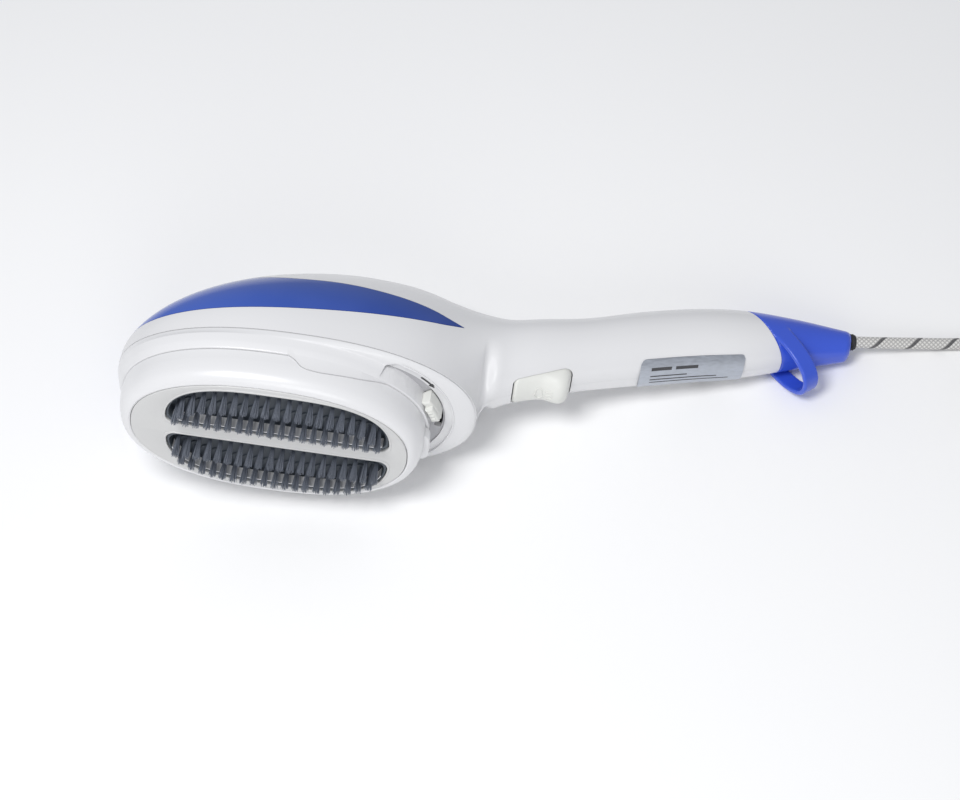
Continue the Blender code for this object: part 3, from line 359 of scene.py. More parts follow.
def raw(name, bm, place=STANCE):
    """An object from a mesh in millimetres, with no looks yet."""
    bmesh.ops.recalc_face_normals(bm, faces=bm.faces)
    mesh = bpy.data.meshes.new(name)
    bm.to_mesh(mesh)
    bm.free()
    mesh.transform(place)
    obj = bpy.data.objects.new(name, mesh)
    bpy.context.scene.collection.objects.link(obj)
    return obj


def dress(obj, material, body, slot, replaces=(), angle=35):
    """Finishes an object: its material, shading, body and slot, and the CAD nodes that it stands in for."""
    obj.data.materials.clear()
    obj.data.materials.append(material)
    obj.data.shade_smooth()
    obj.data.set_sharp_from_angle(angle=radians(angle))
    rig.ride(obj, body)
    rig.slot(obj, slot)
    if replaces:
        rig.replaces(obj, *replaces)
    return obj


def settle(obj):
    """Applies the object's modifiers to its mesh."""
    graph = bpy.context.evaluated_depsgraph_get()
    made = bpy.data.meshes.new_from_object(obj.evaluated_get(graph))
    obj.modifiers.clear()
    obj.data = made
    return obj


def boolean(obj, other, operation="DIFFERENCE", solver="MANIFOLD"):
    """Cuts, joins or keeps what is shared with another object, which is used up."""
    made = obj.modifiers.new("boolean", "BOOLEAN")
    made.operation = operation
    made.object = other
    made.solver = solver
    settle(obj)
    bpy.data.objects.remove(other, do_unlink=True)
    return obj


def round_edges(obj, width, segments=2, angle=40):
    made = obj.modifiers.new("rounding", "BEVEL")
    made.width = width * MM
    made.segments = segments
    made.limit_method = "ANGLE"
    made.angle_limit = radians(angle)
    return settle(obj)


def loft(rings, ends=True, closed=False, bm=None):
    """A surface through rings of points. It has flat ends, or closed joins the last ring to the first."""
    bm = bm or bmesh.new()
    made = [[bm.verts.new(point) for point in ring] for ring in rings]
    pairs = list(zip(made, made[1:]))
    if closed:
        pairs.append((made[-1], made[0]))
    for low, high in pairs:
        for i in range(len(low)):
            j = (i + 1) % len(low)
            bm.faces.new((low[i], low[j], high[j], high[i]))
    if ends and not closed:
        bm.faces.new(made[0])
        bm.faces.new(made[-1])
    return bm


def prism(points, axis, low, high):
    """A flat outline pushed along an axis. An outline across y is given as (x, z), one across z as (x, y)."""
    def point(u, v, w):
        return {"x": (w, u, v), "y": (u, w, v), "z": (u, v, w)}[axis]
    return loft([[point(u, v, w) for u, v in points] for w in (low, high)])


def tube(points, radii, sides=12, bm=None):
    """A round tube along points with a radius at each, turned so that it doesn't twist."""
    points = [Vector(p) for p in points]
    if not hasattr(radii, "__len__"):
        radii = [radii] * len(points)
    rings, side = [], None
    for i, (point, radius) in enumerate(zip(points, radii)):
        along = (points[min(i + 1, len(points) - 1)] - points[max(i - 1, 0)]).normalized()
        if side is None:
            side = along.orthogonal().normalized()
        side = (side - along * side.dot(along)).normalized()
        up = along.cross(side)
        rings.append([point + radius * (side * cos(tau * k / sides)
                                        + up * sin(tau * k / sides)) for k in range(sides)])
    return loft(rings, bm=bm)


def lathe(profile, centre, along=(0, 0, 1), sides=40, bm=None):
    """A turned form: (radius, height) points about an axis."""
    along = Vector(along).normalized()
    side = along.orthogonal().normalized()
    up = along.cross(side)
    rings = [[Vector(centre) + along * high + radius * (side * cos(tau * k / sides)
                                                        + up * sin(tau * k / sides))
              for k in range(sides)] for radius, high in profile]
    return loft(rings, bm=bm)


def plate(loops, low, high, rounding=0.0, segments=3):
    """A flat plate across z, with rounded edges, from an outer loop of (x, y) points and holes in it."""
    curve = bpy.data.curves.new("plate", "CURVE")
    curve.dimensions = "2D"
    curve.fill_mode = "BOTH"
    curve.extrude = (high - low) / 2 - rounding
    curve.bevel_depth = rounding
    curve.bevel_resolution = segments
    curve.offset = -rounding
    for loop in loops:
        spline = curve.splines.new("POLY")
        spline.points.add(len(loop) - 1)
        spline.use_cyclic_u = True
        for place, (x, y) in zip(spline.points, loop):
            place.co = (x, y, 0, 1)
    obj = bpy.data.objects.new("plate", curve)
    bpy.context.scene.collection.objects.link(obj)
    bpy.context.view_layer.update()
    mesh = bpy.data.meshes.new_from_object(obj.evaluated_get(bpy.context.evaluated_depsgraph_get()))
    bpy.data.objects.remove(obj, do_unlink=True)
    bm = bmesh.new()
    bm.from_mesh(mesh)
    bmesh.ops.translate(bm, verts=bm.verts, vec=(0, 0, (low + high) / 2))
    bmesh.ops.remove_doubles(bm, verts=bm.verts, dist=0.002)
    return bm


# Materials


class Nodes:
    """A material's node tree, with short ways to add to it."""

    def __init__(self, name):
        self.material = bpy.data.materials.new(name)
        self.material.use_nodes = True
        self.tree = self.material.node_tree
        self.shader = self.tree.nodes["Principled BSDF"]
        coordinates = self.tree.nodes.new("ShaderNodeTexCoord")
        self.place = coordinates.outputs["Object"]
        self.uv = coordinates.outputs["UV"]

    def add(self, kind, values=None):
        node = self.tree.nodes.new(f"ShaderNode{kind}")
        for key, value in (values or {}).items():
            if key in node.inputs:
                node.inputs[key].default_value = value
            else:
                setattr(node, key, value)
        return node

    def join(self, source, node, socket):
        output = source if isinstance(source, bpy.types.NodeSocket) else source.outputs[0]
        self.tree.links.new(output, node.inputs[socket])

    def noise(self, scale, detail=3.0, roughness=0.5, vector=None):
        node = self.add("TexNoise", {"Scale": scale, "Detail": detail, "Roughness": roughness})
        self.join(vector or self.place, node, "Vector")
        return node.outputs["Fac"]

    def span(self, source, low, high, start=0.0, end=1.0):
        """The source's range from low to high, spread from start to end."""
        node = self.add("MapRange", {"From Min": low, "From Max": high, "To Min": start, "To Max": end})
        self.join(source, node, "Value")
        return node.outputs["Result"]

    def mix(self, share, first, second):
        node = self.add("Mix", {"data_type": "RGBA"})
        for socket, value in ((node.inputs[6], first), (node.inputs[7], second)):
            if isinstance(value, bpy.types.NodeSocket):
                self.tree.links.new(value, socket)
            else:
                socket.default_value = (*value, 1.0)
        self.tree.links.new(share, node.inputs[0])
        return node.outputs[2]

    def maths(self, operation, first, second=0.0):
        node = self.add("Math", {"operation": operation})
        for socket, value in zip(node.inputs, (first, second)):
            if isinstance(value, bpy.types.NodeSocket):
                self.tree.links.new(value, socket)
            else:
                socket.default_value = value
        return node.outputs[0]

    def along(self, axis, low, high):
        """How far a point is along one of the steamer's axes, from 0 at low to 1 at high, in millimetres."""
        node = self.add("VectorMath", {"operation": "DOT_PRODUCT"})
        self.join(self.place, node, 0)
        node.inputs[1].default_value = axis
        start = ORIGIN.dot(axis)
        return self.span(node.outputs["Value"], start + low * MM, start + high * MM)

    def bump(self, height, strength, distance, normal=None):
        node = self.add("Bump", {"Strength": strength, "Distance": distance})
        self.join(height, node, "Height")
        if normal is not None:
            self.join(normal, node, "Normal")
        return node.outputs["Normal"]


def set_shader(nodes, values):
    for key, value in values.items():
        nodes.shader.inputs[key].default_value = value


def tinted(colour, share):
    return tuple(min(c * share, 1.0) for c in colour)


def moulded(name, colour, roughness, vary, depth=0.0, **more):
    """Moulded plastic or rubber: slow colour drift, uneven gloss, and skin grain if it has a depth."""
    nodes = Nodes(name)
    drift = nodes.span(nodes.noise(18.0, 1.0), 0.35, 0.65)
    base = nodes.mix(drift, tinted(colour, 1 - vary), tinted(colour, 1 + vary))
    nodes.join(base, nodes.shader, "Base Color")
    gloss = nodes.span(nodes.noise(35.0, 1.0), 0.3, 0.7, roughness * 0.92, roughness * 1.1)
    nodes.join(gloss, nodes.shader, "Roughness")
    normal = nodes.bump(nodes.noise(28.0, 0.0), 0.05, 0.0002)
    if depth:
        normal = nodes.bump(nodes.noise(1400.0, 2.0), 0.2, depth, normal)
    nodes.join(normal, nodes.shader, "Normal")
    set_shader(nodes, more)
    return nodes.material


def window_plastic():
    """Glossy blue plastic, opaque here, with painted shade that darkens it towards its tip and its upper edge."""
    nodes = Nodes("window_blue")
    length = nodes.along(AXIS_X, -75.0, 85.0)
    height = nodes.along(AXIS_Z, 40.0, 84.0)
    # Painted shade: the blue darkens towards the window's rear tip and towards its upper edge
    lower = nodes.mix(length, (0.045, 0.12, 0.54), (0.008, 0.04, 0.26))
    upper = nodes.mix(length, (0.045, 0.1, 0.4), (0.008, 0.045, 0.22))
    base = nodes.mix(nodes.span(height, 0.25, 0.75), lower, upper)
    cloud = nodes.span(nodes.noise(26.0, 2.0), 0.3, 0.7, 0.0, 0.22)
    nodes.join(nodes.mix(cloud, base, (0.09, 0.15, 0.5)), nodes.shader, "Base Color")
    nodes.join(nodes.span(nodes.noise(120.0, 3.0), 0.3, 0.7, 0.09, 0.15), nodes.shader, "Roughness")
    nodes.join(nodes.bump(nodes.noise(30.0, 1.0), 0.15, 0.0004), nodes.shader, "Normal")
    set_shader(nodes, {"Coat Weight": 0.3, "Coat Roughness": 0.08, "IOR": 1.4})
    return nodes.material


def brushed_metal(name, colour, roughness, direction):
    """Metal with fine drawn lines along one direction."""
    nodes = Nodes(name)
    stretch = nodes.add("Mapping", {"vector_type": "POINT"})
    nodes.join(nodes.place, stretch, "Vector")
    stretch.inputs["Scale"].default_value = direction
    lines = nodes.noise(1.0, 5.0, 0.6, stretch.outputs["Vector"])
    base = nodes.mix(nodes.span(lines, 0.3, 0.7), tinted(colour, 0.88), tinted(colour, 1.08))
    nodes.join(base, nodes.shader, "Base Color")
    nodes.join(nodes.span(lines, 0.3, 0.7, roughness * 0.8, roughness * 1.3), nodes.shader, "Roughness")
    nodes.join(nodes.bump(lines, 0.12, 0.00004), nodes.shader, "Normal")
    set_shader(nodes, {"Metallic": 1.0})
    return nodes.material


def braid():
    """Woven white yarn with dark tracer threads, and painted shade in the grooves of the weave. The tube's own UVs run
    along and round it.
    """
    nodes = Nodes("cord_braid")
    parts = nodes.add("SeparateXYZ")
    nodes.join(nodes.uv, parts, "Vector")
    along, around = parts.outputs["X"], parts.outputs["Y"]
    crossings = []
    for sign in (1.0, -1.0):
        lengthways = nodes.maths("MULTIPLY", along, 430.0)
        turned = nodes.maths("ADD", lengthways, nodes.maths("MULTIPLY", around, sign * 8))
        wave = nodes.maths("SINE", nodes.maths("MULTIPLY", turned, pi))
        crossings.append(nodes.maths("ABSOLUTE", wave))
    weave = nodes.maths("MULTIPLY", *crossings)
    yarn = nodes.noise(3200.0, 3.0)
    tracer = nodes.maths("ADD", nodes.maths("MULTIPLY", along, 53.75), around)
    dark = nodes.span(nodes.maths("FRACT", tracer), 0.86, 0.9)
    # Painted shade: the white yarn turns grey in the grooves of the weave, where shade falls between strands
    base = nodes.mix(weave, (0.42, 0.41, 0.4), (0.84, 0.83, 0.8))
    base = nodes.mix(nodes.maths("MULTIPLY", dark, 0.9), base, (0.05, 0.05, 0.055))
    nodes.join(base, nodes.shader, "Base Color")
    fuzz = nodes.bump(yarn, 0.5, 0.00008)
    nodes.join(nodes.bump(weave, 0.9, 0.00035, fuzz), nodes.shader, "Normal")
    nodes.join(nodes.span(yarn, 0.3, 0.7, 0.75, 0.95), nodes.shader, "Roughness")
    set_shader(nodes, {"Sheen Weight": 0.3})
    return nodes.material


def bristle_nylon():
    """Slate nylon with painted shade that darkens the filaments down in the tray and leaves them paler at the tips,
    each filament a little different.
    """
    nodes = Nodes("bristle_nylon")
    height = nodes.along(AXIS_Z, 6.0, -6.5)
    streak = nodes.noise(900.0, 2.0)
    # Painted shade: the filaments darken towards their roots in the recessed tray and pale towards the tips
    base = nodes.mix(height, (0.09, 0.105, 0.135), (0.2, 0.22, 0.265))
    base = nodes.mix(nodes.span(streak, 0.35, 0.7, 0.0, 0.6), base, (0.13, 0.145, 0.18))
    nodes.join(base, nodes.shader, "Base Color")
    nodes.join(nodes.span(streak, 0.3, 0.7, 0.3, 0.5), nodes.shader, "Roughness")
    nodes.join(nodes.bump(nodes.noise(4000.0, 2.0), 0.2, 0.00002), nodes.shader, "Normal")
    return nodes.material


WHITE = moulded("white_plastic", (0.76, 0.76, 0.77), 0.3, 0.008,
                **{"Coat Weight": 0.3, "Coat Roughness": 0.12})
BLUE = moulded("blue_plastic", (0.04, 0.098, 0.62), 0.3, 0.05,
               **{"Coat Weight": 0.25, "Coat Roughness": 0.15})
WINDOW = window_plastic()
GREY = moulded("sole_grey", (0.62, 0.62, 0.615), 0.36, 0.012, **{"Coat Weight": 0.1})
CREAM = moulded("cream_plastic", (0.75, 0.755, 0.72), 0.4, 0.015)
SLATE = moulded("slate_nylon", (0.055, 0.068, 0.085), 0.42, 0.08)
BRISTLE = bristle_nylon()
STEEL = brushed_metal("steel", (0.62, 0.62, 0.63), 0.28, (900.0, 900.0, 90.0))
ALUMINIUM = brushed_metal("aluminium", (0.74, 0.75, 0.77), 0.4, (90.0, 700.0, 700.0))
SILVER = brushed_metal("silver_label", (0.5, 0.53, 0.585), 0.4, (120.0, 900.0, 900.0))
RUBBER = moulded("black_rubber", (0.022, 0.022, 0.024), 0.62, 0.15, depth=0.00008)
BLACK = moulded("black_plastic", (0.028, 0.028, 0.03), 0.4, 0.1, depth=0.00005)
CLEAR = moulded("clear_plastic", (0.72, 0.78, 0.88), 0.12, 0.03, **{"Transmission Weight": 0.6})
SILICONE = moulded("silicone", (0.74, 0.76, 0.78), 0.4, 0.04, **{"Transmission Weight": 0.25})
INNER = moulded("inner_plastic", (0.70, 0.70, 0.68), 0.45, 0.04)
RED = moulded("red_lead", (0.5, 0.03, 0.02), 0.42, 0.08)
INK = moulded("print_ink", (0.05, 0.05, 0.055), 0.5, 0.1)
# Painted shade: a mid grey for the thin sheet laid on the lock recess's floor, which is white plastic in shade
RECESS_SHADE_GREY = moulded("recess_shade_sheet", (0.46, 0.46, 0.48), 0.4, 0.04)
BRAID = braid()

SLOT_MATERIALS = {"white_plastic": WHITE, "blue_plastic": BLUE, "window_blue": WINDOW, "clear_plastic": CLEAR,
                  "sole_grey": GREY, "cream_plastic": CREAM, "nylon_bristle": BRISTLE, "silver_label": SILVER,
                  "steel": STEEL, "aluminium": ALUMINIUM, "black_rubber": RUBBER, "silicone": SILICONE,
                  "inner_plastic": INNER, "red_lead": RED, "black_plastic": BLACK, "cord_braid": BRAID}
for node in frame["nodes"].values():
    slot = node.data.materials[0].name.split(".")[0]
    node.data.materials.clear()
    node.data.materials.append(SLOT_MATERIALS[slot])


# Camera, at the photograph's viewing angle. Its place and turn are written in the steamer's own frame

CAMERA_AT = (97.79, -938.66, -665.24)
CAMERA_LENS = 89.84
CAMERA_DIP = radians(37.0)
CAMERA_ROLL = radians(8.0)


def place_camera():
    data = bpy.data.cameras.new("camera")
    data.lens = CAMERA_LENS
    data.sensor_width = 36.0
    camera = bpy.data.objects.new("camera", data)
    bpy.context.scene.collection.objects.link(camera)
    turn = STANCE.to_3x3().normalized()
    back = Vector((0, -cos(CAMERA_DIP), -sin(CAMERA_DIP)))
    level, rise = Vector((1, 0, 0)), Vector((0, -sin(CAMERA_DIP), cos(CAMERA_DIP)))
    right = cos(CAMERA_ROLL) * level + sin(CAMERA_ROLL) * rise
    up = cos(CAMERA_ROLL) * rise - sin(CAMERA_ROLL) * level
    axes = Matrix([turn @ v for v in (right, up, back)]).transposed()
    camera.matrix_world = Matrix.Translation(STANCE @ Vector(CAMERA_AT)) @ axes.to_4x4()
    bpy.context.scene.camera = camera


place_camera()


# Cord, coil, tie and plug, on the floor's axes

CORD_ROUTE = ((158.4, 52.9, 13.3), (168.3, 54.4, 11.8), (178.2, 55.9, 10.3), (183.6, 56.7, 9.5),
              (190, 57.7, 8.5), (198, 59.0, 7.2), (206, 60.3, 6.0), (214, 61.5, 4.9), (222, 62.6, 4.0),
              (230, 63.6, 3.4), (238, 64.4, 3.2), (246, 65.1, 3.1), (254, 65.6, 3.2), (260.2, 65.8, 3.4),
              (268, 66, 3.6), (275.5, 66, 3.8))
COIL_AT = (283.0, 24.0)
COIL_RADII = (42.0, 36.0, 30.0, 24.0)
COIL_HEIGHTS = (3.9, 9.9)
PLUG_X = 307.6
PLUG_Y = 66.0
PLUG_Z = 10.0
TURN_STEPS = 48
CORD_STEP = 1.2
CORD_END = ((291.0, PLUG_Y, 9.95), (300.0, PLUG_Y, PLUG_Z), (312.0, PLUG_Y, PLUG_Z))
# Where the cord leaves the bushing, in metres
CORD_EXIT = (0.17817, 0.05589, 0.01032)


def coil_line():
    """Eight turns, clockwise from above: inwards along the floor, then outwards on top of those."""
    radii = [*COIL_RADII, *reversed(COIL_RADII)]
    points = []
    total = len(radii) * TURN_STEPS
    for k in range(total + 1):
        turn = min(int(k / TURN_STEPS), len(radii) - 1)
        share = k / TURN_STEPS - turn
        step = ease(0.72, 1.0, share)
        after = radii[min(turn + 1, len(radii) - 1)]
        radius = radii[turn] + (after - radii[turn]) * step
        layer = ease(len(COIL_RADII) - 0.28, len(COIL_RADII), k / TURN_STEPS)
        height = COIL_HEIGHTS[0] + (COIL_HEIGHTS[1] - COIL_HEIGHTS[0]) * layer
        angle = pi / 2 - tau * k / TURN_STEPS
        points.append((COIL_AT[0] + radius * cos(angle), COIL_AT[1] + radius * sin(angle), height))
    return points


def length_of(points):
    return sum((b - a).length for a, b in zip(points, points[1:]))


def braided_tube(points, radius, step, sides=20):
    """A tube along evenly spaced points, with UVs in metres along it and from 0 to 1 round it."""
    bm = tube(points, radius, sides)
    layer = bm.loops.layers.uv.new("UVMap")
    bm.verts.index_update()
    bm.verts.ensure_lookup_table()
    for face in bm.faces:
        if len(face.verts) != 4:
            continue
        rings = [v.index // sides for v in face.verts]
        columns = [v.index % sides for v in face.verts]
        wraps = max(columns) - min(columns) > 1
        for loop, ring, column in zip(face.loops, rings, columns):
            around = sides if wraps and column == 0 else column
            loop[layer].uv = (ring * step * MM, around / sides)
    return bm


def resample(points, step):
    """The line's points at even steps."""
    points = [Vector(p) for p in points]
    made, left = [points[0]], step
    for a, b in zip(points, points[1:]):
        span = (b - a).length
        done = 0.0
        while span - done >= left:
            done += left
            made.append(a + (b - a) * done / span)
            left = step
        left -= span - done
    return made


def make_cord():
    """The braided cord and its ring centres: the free stretch, the coil, and the end that enters the plug."""
    line = resample([*through(CORD_ROUTE, 4), *coil_line(), *CORD_END], CORD_STEP)
    bm = braided_tube(line, CORD_RADIUS, CORD_STEP)
    cord = piece("cord_braided", bm, BRAID, "housing", "cord_braid", ("mains_cord", "cord_coil"), FLOOR)
    return cord, line


cord, cord_points = make_cord()


def declare_cord(plug_pieces):
    """The cord's facts: about 1.8 m, the usual lead of a handheld steamer, with the plug at its far end."""
    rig.cord(cord, CORD_EXIT, length_of(cord_points) * MM, 2 * CORD_RADIUS * MM, "plug", "medium", "coiled",
            [FLOOR @ p for p in cord_points], plug_pieces)


# The housing's skin, as fine sections along the steamer


def seam_half_width(x):
    across = 1 - abs((x - SEAM_MIDDLE) / SEAM_HALF_LENGTH) ** SEAM_POWER
    return SEAM_HALF_WIDTH * max(across, 0.0) ** (1 / SEAM_POWER)


def top_height(x):
    if x >= CREST_X:
        return smooth(TOP_LINE, x)
    along = (CREST_X - x) / (CREST_X - SEAM_NOSE)
    return SEAM_Z + (CREST_Z - SEAM_Z) * max(1 - along**DOME_POWER, 0.0) ** (1 / DOME_POWER)


def skin_ring(x, inset=0.0, floor=None):
    """The housing's section at x, as points round it from the bottom centre. The inset shrinks it evenly."""
    skin_x = x
    if x < SEAM_MIDDLE:
        skin_x = SEAM_MIDDLE + (x - SEAM_MIDDLE) * SEAM_HALF_LENGTH / (SEAM_HALF_LENGTH - inset)
    under_x = skin_x + (5.0 * min(max((112.0 - skin_x) / 8.0, 0.0), 1.0) if inset else 0.0)
    wide = smooth(HALF_WIDTH, skin_x) if skin_x > HALF_WIDTH[0][0] else seam_half_width(skin_x)
    wide = max(wide - inset, 1.0)
    foot = max(seam_half_width(max(under_x, skin_x)) - inset, 1.5) if skin_x > HALF_WIDTH[0][0] else wide
    top = max(top_height(skin_x) - inset, SEAM_Z + 1.0)
    if under_x <= SEAM_REAR:
        bottom = SEAM_Z + GAP / 2 if floor is None else floor
    else:
        bottom = smooth(UNDER_LINE, under_x) + inset
    mid = smooth(MID_LINE, skin_x)
    if skin_x < CREST_X:
        mid = min(mid, (top + SEAM_Z) / 2)
    power = 2.0 + 0.3 * fade(57.0, 97.0, skin_x)
    side = []
    flared = fade(97.0, 105.0, skin_x)
    for i in range(SKIN_LOWER):
        t = i / SKIN_LOWER
        swell, rise = sin(pi * t / 2), 1 - cos(pi * t / 2)
        swell += flared * (t * t * (3 - 2 * t) - swell)
        rise += flared * (t - rise)
        side.append((foot + (wide - foot) * swell, bottom + (mid - bottom) * rise))
    for i in range(SKIN_UPPER):
        angle = radians(90 * i / SKIN_UPPER)
        side.append((wide * cos(angle) ** (2 / power), mid + (top - mid) * sin(angle) ** (2 / power)))
    ring = [(0.0, bottom), *side, (0.0, top), *[(-y, z) for y, z in reversed(side)]]
    return [(x, y, z) for y, z in ring]


def spaced(low, high, step):
    count = max(int(round((high - low) / step)), 1)
    return [low + (high - low) * k / count for k in range(count)]


def skin_stations(inset, tail):
    """Where the skin's sections stand: close together at the nose and where the dome ends in the neck."""
    half_length = SEAM_HALF_LENGTH - inset
    nose = [SEAM_MIDDLE - half_length * cos(radians(a)) for a in (2, 4, 7, *range(10, 91, 3))]
    if inset:
        return nose + spaced(SEAM_MIDDLE + 3, 92, 3.0) + spaced(101, tail - 1, 3.0) + [tail]
    rear = [93.2, 94.2, 95.1, 95.8, 96.3, 96.7, 97.0, 97.2, 97.45, 97.8, 98.2, 98.6, 99.2, 99.9]
    return nose + spaced(SEAM_MIDDLE + 2.5, 92.5, 2.0) + rear + spaced(100.7, tail - 1, 2.0) + [tail]


def whole_skin(name, inset=0.0, tail=CAP_END_X, floor=None):
    rings = [skin_ring(x, inset, floor=floor) for x in skin_stations(inset, tail)]
    return raw(name, loft(rings))


def oblique(offset, reach=400.0):
    """Two (x, z) points on the handle's oblique end, moved towards the tail by an offset, and its normal."""
    start, end = Vector(OBLIQUE_TOP), Vector(OBLIQUE_LOW)
    along = (end - start).normalized()
    normal = Vector((-along.y, along.x))
    if normal.x < 0:
        normal = -normal
    return start + normal * offset - along * reach, end + normal * offset + along * reach, normal


def beyond_oblique(offset, towards_tail):
    """A cutter for everything on one side of the oblique plane."""
    start, end, normal = oblique(offset)
    reach = normal * (120.0 if towards_tail else -400.0)
    return raw("beyond", prism([start, end, end + reach, start + reach], "y", -90, 90))


def block(low, high):
    """A box between two corners."""
    flat = [(low[0], low[1]), (high[0], low[1]), (high[0], high[1]), (low[0], high[1])]
    return raw("block", prism(flat, "z", low[2], high[2]))


def rod(start, end, radius, sides=32):
    """A round cutter."""
    start, end = Vector(start), Vector(end)
    return raw("rod", lathe([(radius, 0), (radius, (end - start).length)], start, end - start, sides))


def window_cutter(shrink):
    """A cutter with the window's side outline. The shrink leaves a gap round the pane."""
    low = [(x, smooth(WINDOW_LOW, x) + shrink) for x in spaced(-95, 84, 3.0)]
    high = [(p.x, p.y - shrink) for p in through(WINDOW_HIGH, 8)[5:]]
    tip = (WINDOW_LOW[-1][0] - 2.5 * shrink, WINDOW_LOW[-1][1])
    return raw("window_cutter", prism([*low, tip, *high, (-95 - shrink, 95)], "y", -70, 70))


# Trigger


def under_point(x, angle, proud):
    """A point of the handle's skin at an angle from straight down, standing out downwards by an amount."""
    bottom, mid, wide = smooth(UNDER_LINE, x), smooth(MID_LINE, x), smooth(HALF_WIDTH, x)
    return (x, wide * sin(angle), mid - (mid - bottom + proud) * cos(angle))


def corner_loss(x, low, high, front, rear):
    """How far an outline's side steps in near its two rounded ends, as a length."""
    lost = 0.0
    for radius, deep in ((front, front - (x - low)), (rear, rear - (high - x))):
        if deep > 0:
            lost = radius - sqrt(max(radius**2 - deep**2, 0.0))
    return lost


def crowded(low, high, count):
    """Values from low to high, close together at both ends."""
    return [low + (high - low) * (1 - cos(pi * k / count)) / 2 for k in range(count + 1)]


def trigger_reach(x, grown):
    """Half the trigger's angle at x, with its corners rounded. Grown makes room for the housing's opening."""
    low, high = TRIGGER_SHAPE[0][0] - grown, TRIGGER_SHAPE[-1][0] + grown
    lost = corner_loss(x, low, high, 2.5, 5.2) / smooth(HALF_WIDTH, x)
    half_degrees = 26.2 + 9.5 * (x - TRIGGER_FRONT) / (TRIGGER_REAR - TRIGGER_FRONT)
    return radians(half_degrees) + grown / smooth(HALF_WIDTH, x) - lost


def trigger_cutter():
    """A cutter for the housing's opening round the trigger."""
    rings = []
    for x in crowded(TRIGGER_SHAPE[0][0] - TRIGGER_ROOM, TRIGGER_SHAPE[-1][0] + TRIGGER_ROOM, 40):
        half = trigger_reach(x, TRIGGER_ROOM)
        arc = [under_point(x, half * (2 * k / 24 - 1), 8.0) for k in range(25)]
        rings.append(arc + [(a, b, c + 20.0) for a, b, c in reversed(arc)])
    return raw("trigger_cutter", loft(rings))


def make_trigger():
    """The trigger's crowned face, whose bulge falls off over a rounded edge, with its ears and its post."""
    rings = []
    front_depth, back_depth, edge = 0.9, 2.4, 1.6
    low, high = TRIGGER_SHAPE[0][0], TRIGGER_SHAPE[-1][0]
    for x in crowded(low, high, 56):
        proud, half = smooth(TRIGGER_SHAPE, x), trigger_reach(x, 0.0)
        end = min(max(min(x - low, high - x) / edge, 0.0), 1.0)
        proud = (proud + front_depth) * sqrt(1 - (1 - end) ** 2) - front_depth
        face, back = [], []
        for k in range(41):
            t = -cos(pi * k / 40)
            fall = (1 - abs(t) ** 6) ** 0.4
            face.append(under_point(x, half * t, -front_depth + (proud + front_depth) * fall))
            back.append(under_point(x, half * t, -back_depth))
        rings.append(face + list(reversed(back)))
    trigger = raw("trigger_face", loft(rings))
    for low, high in (((115.0, -6, 50.9), (118.5, 6, 56.8)), ((131.5, -3, 54), (136, 3, 58.8))):
        boolean(trigger, block(low, high), "UNION")
    x, z = TRIGGER_PIN
    boolean(trigger, rod((x, -9, z), (x, 9, z), 1.6))
    return dress(trigger, CREAM, "trigger", "cream_plastic", ("steam_trigger",), 50)


def trigger_point(x, across, lift):
    """A point on the trigger's face, as wide across as given."""
    return under_point(x, asin(across / smooth(HALF_WIDTH, x)), smooth(TRIGGER_SHAPE, x) + lift)


def make_trigger_mark():
    """A plain raised mark for steam: a low cloud with three plumes."""
    bm = bmesh.new()
    for shift in (-2.6, 0.0, 2.6):
        plume = [trigger_point(129.2 + 3.4 * t, shift + 0.55 * sin(tau * t), 0.05)
                 for t in [k / 12 for k in range(13)]]
        tube(plume, 0.33, 8, bm)
    cloud = []
    for k in range(31):
        swell = 1 + 0.22 * cos(5 * tau * k / 30)
        cloud.append(trigger_point(125.8 + 1.9 * sin(tau * k / 30) * swell,
                                   3.9 * cos(tau * k / 30), 0.05))
    tube(cloud, 0.33, 8, bm)
    piece("trigger_mark", bm, CREAM, "trigger", "cream_plastic")


def pump_point(along, x=0.0, y=0.0):
    """A point at a height along the pump's axis."""
    return (PUMP_AT[0] + along * sin(PUMP_LEAN) + x * cos(PUMP_LEAN), y,
            PUMP_AT[2] + along * cos(PUMP_LEAN) - x * sin(PUMP_LEAN))


def make_spring():
    """The pump's return spring, which shortens as the trigger pushes the piston."""
    low, high, radius, wire, turns = 13.6, 21.8, 3.4, 0.45, 4
    line = [pump_point(low + (high - low) * k / 96, radius * cos(tau * turns * k / 96),
                       radius * sin(tau * turns * k / 96)) for k in range(97)]
    spring = piece("return_spring", tube(line, wire, 10), STEEL, "housing", "steel", ("pump_spring",))
    anchor = STANCE @ Vector(pump_point(high + wire))
    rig.squash(spring, "pump_stroke", joint("pump_stroke")["axis"], anchor, 0.69)


# Shells


def make_shells():
    """The window's pane and the two housing halves, each cut from the same hollow skin."""
    window = whole_skin("window_pane", 0.0, 120.0)
    boolean(window, window_cutter(GAP), "INTERSECT")
    boolean(window, whole_skin("inner", 2.0, 124.0, 10.0))
    dress(window, WINDOW, "housing", "window_blue", ("water_window",))
    for side, name in ((-1, "left"), (1, "right")):
        shell = whole_skin(f"shell_{name}", 0.0, 262.0)
        boolean(shell, whole_skin("inner", WALL, 266.0, 20.0))
        low, high = sorted((-side * 70, side * 0.04))
        for cutter in (rod((FILLER_X, 0, 80), (FILLER_X, 0, 110), FILLER_RADIUS + 0.4, 48),
                       beyond_oblique(0.0, True), window_cutter(0.0), trigger_cutter(),
                       block((-100, low, -30), (300, high, 160))):
            boolean(shell, cutter)
        if side == 1:
            for x, z in SCREW_WELLS:
                boolean(shell, rod((x, 6.0, z), (x, 40, z), 3.5))
        dress(shell, WHITE, "housing", "white_plastic", (f"housing_{name}",))


def sweep(profile):
    """A closed band: each (z, nose, rear, half width) of the profile is one plan outline."""
    return loft([[(x, y, z) for x, y in outline(nose, rear, half_width)]
                 for z, nose, rear, half_width in profile], closed=True)


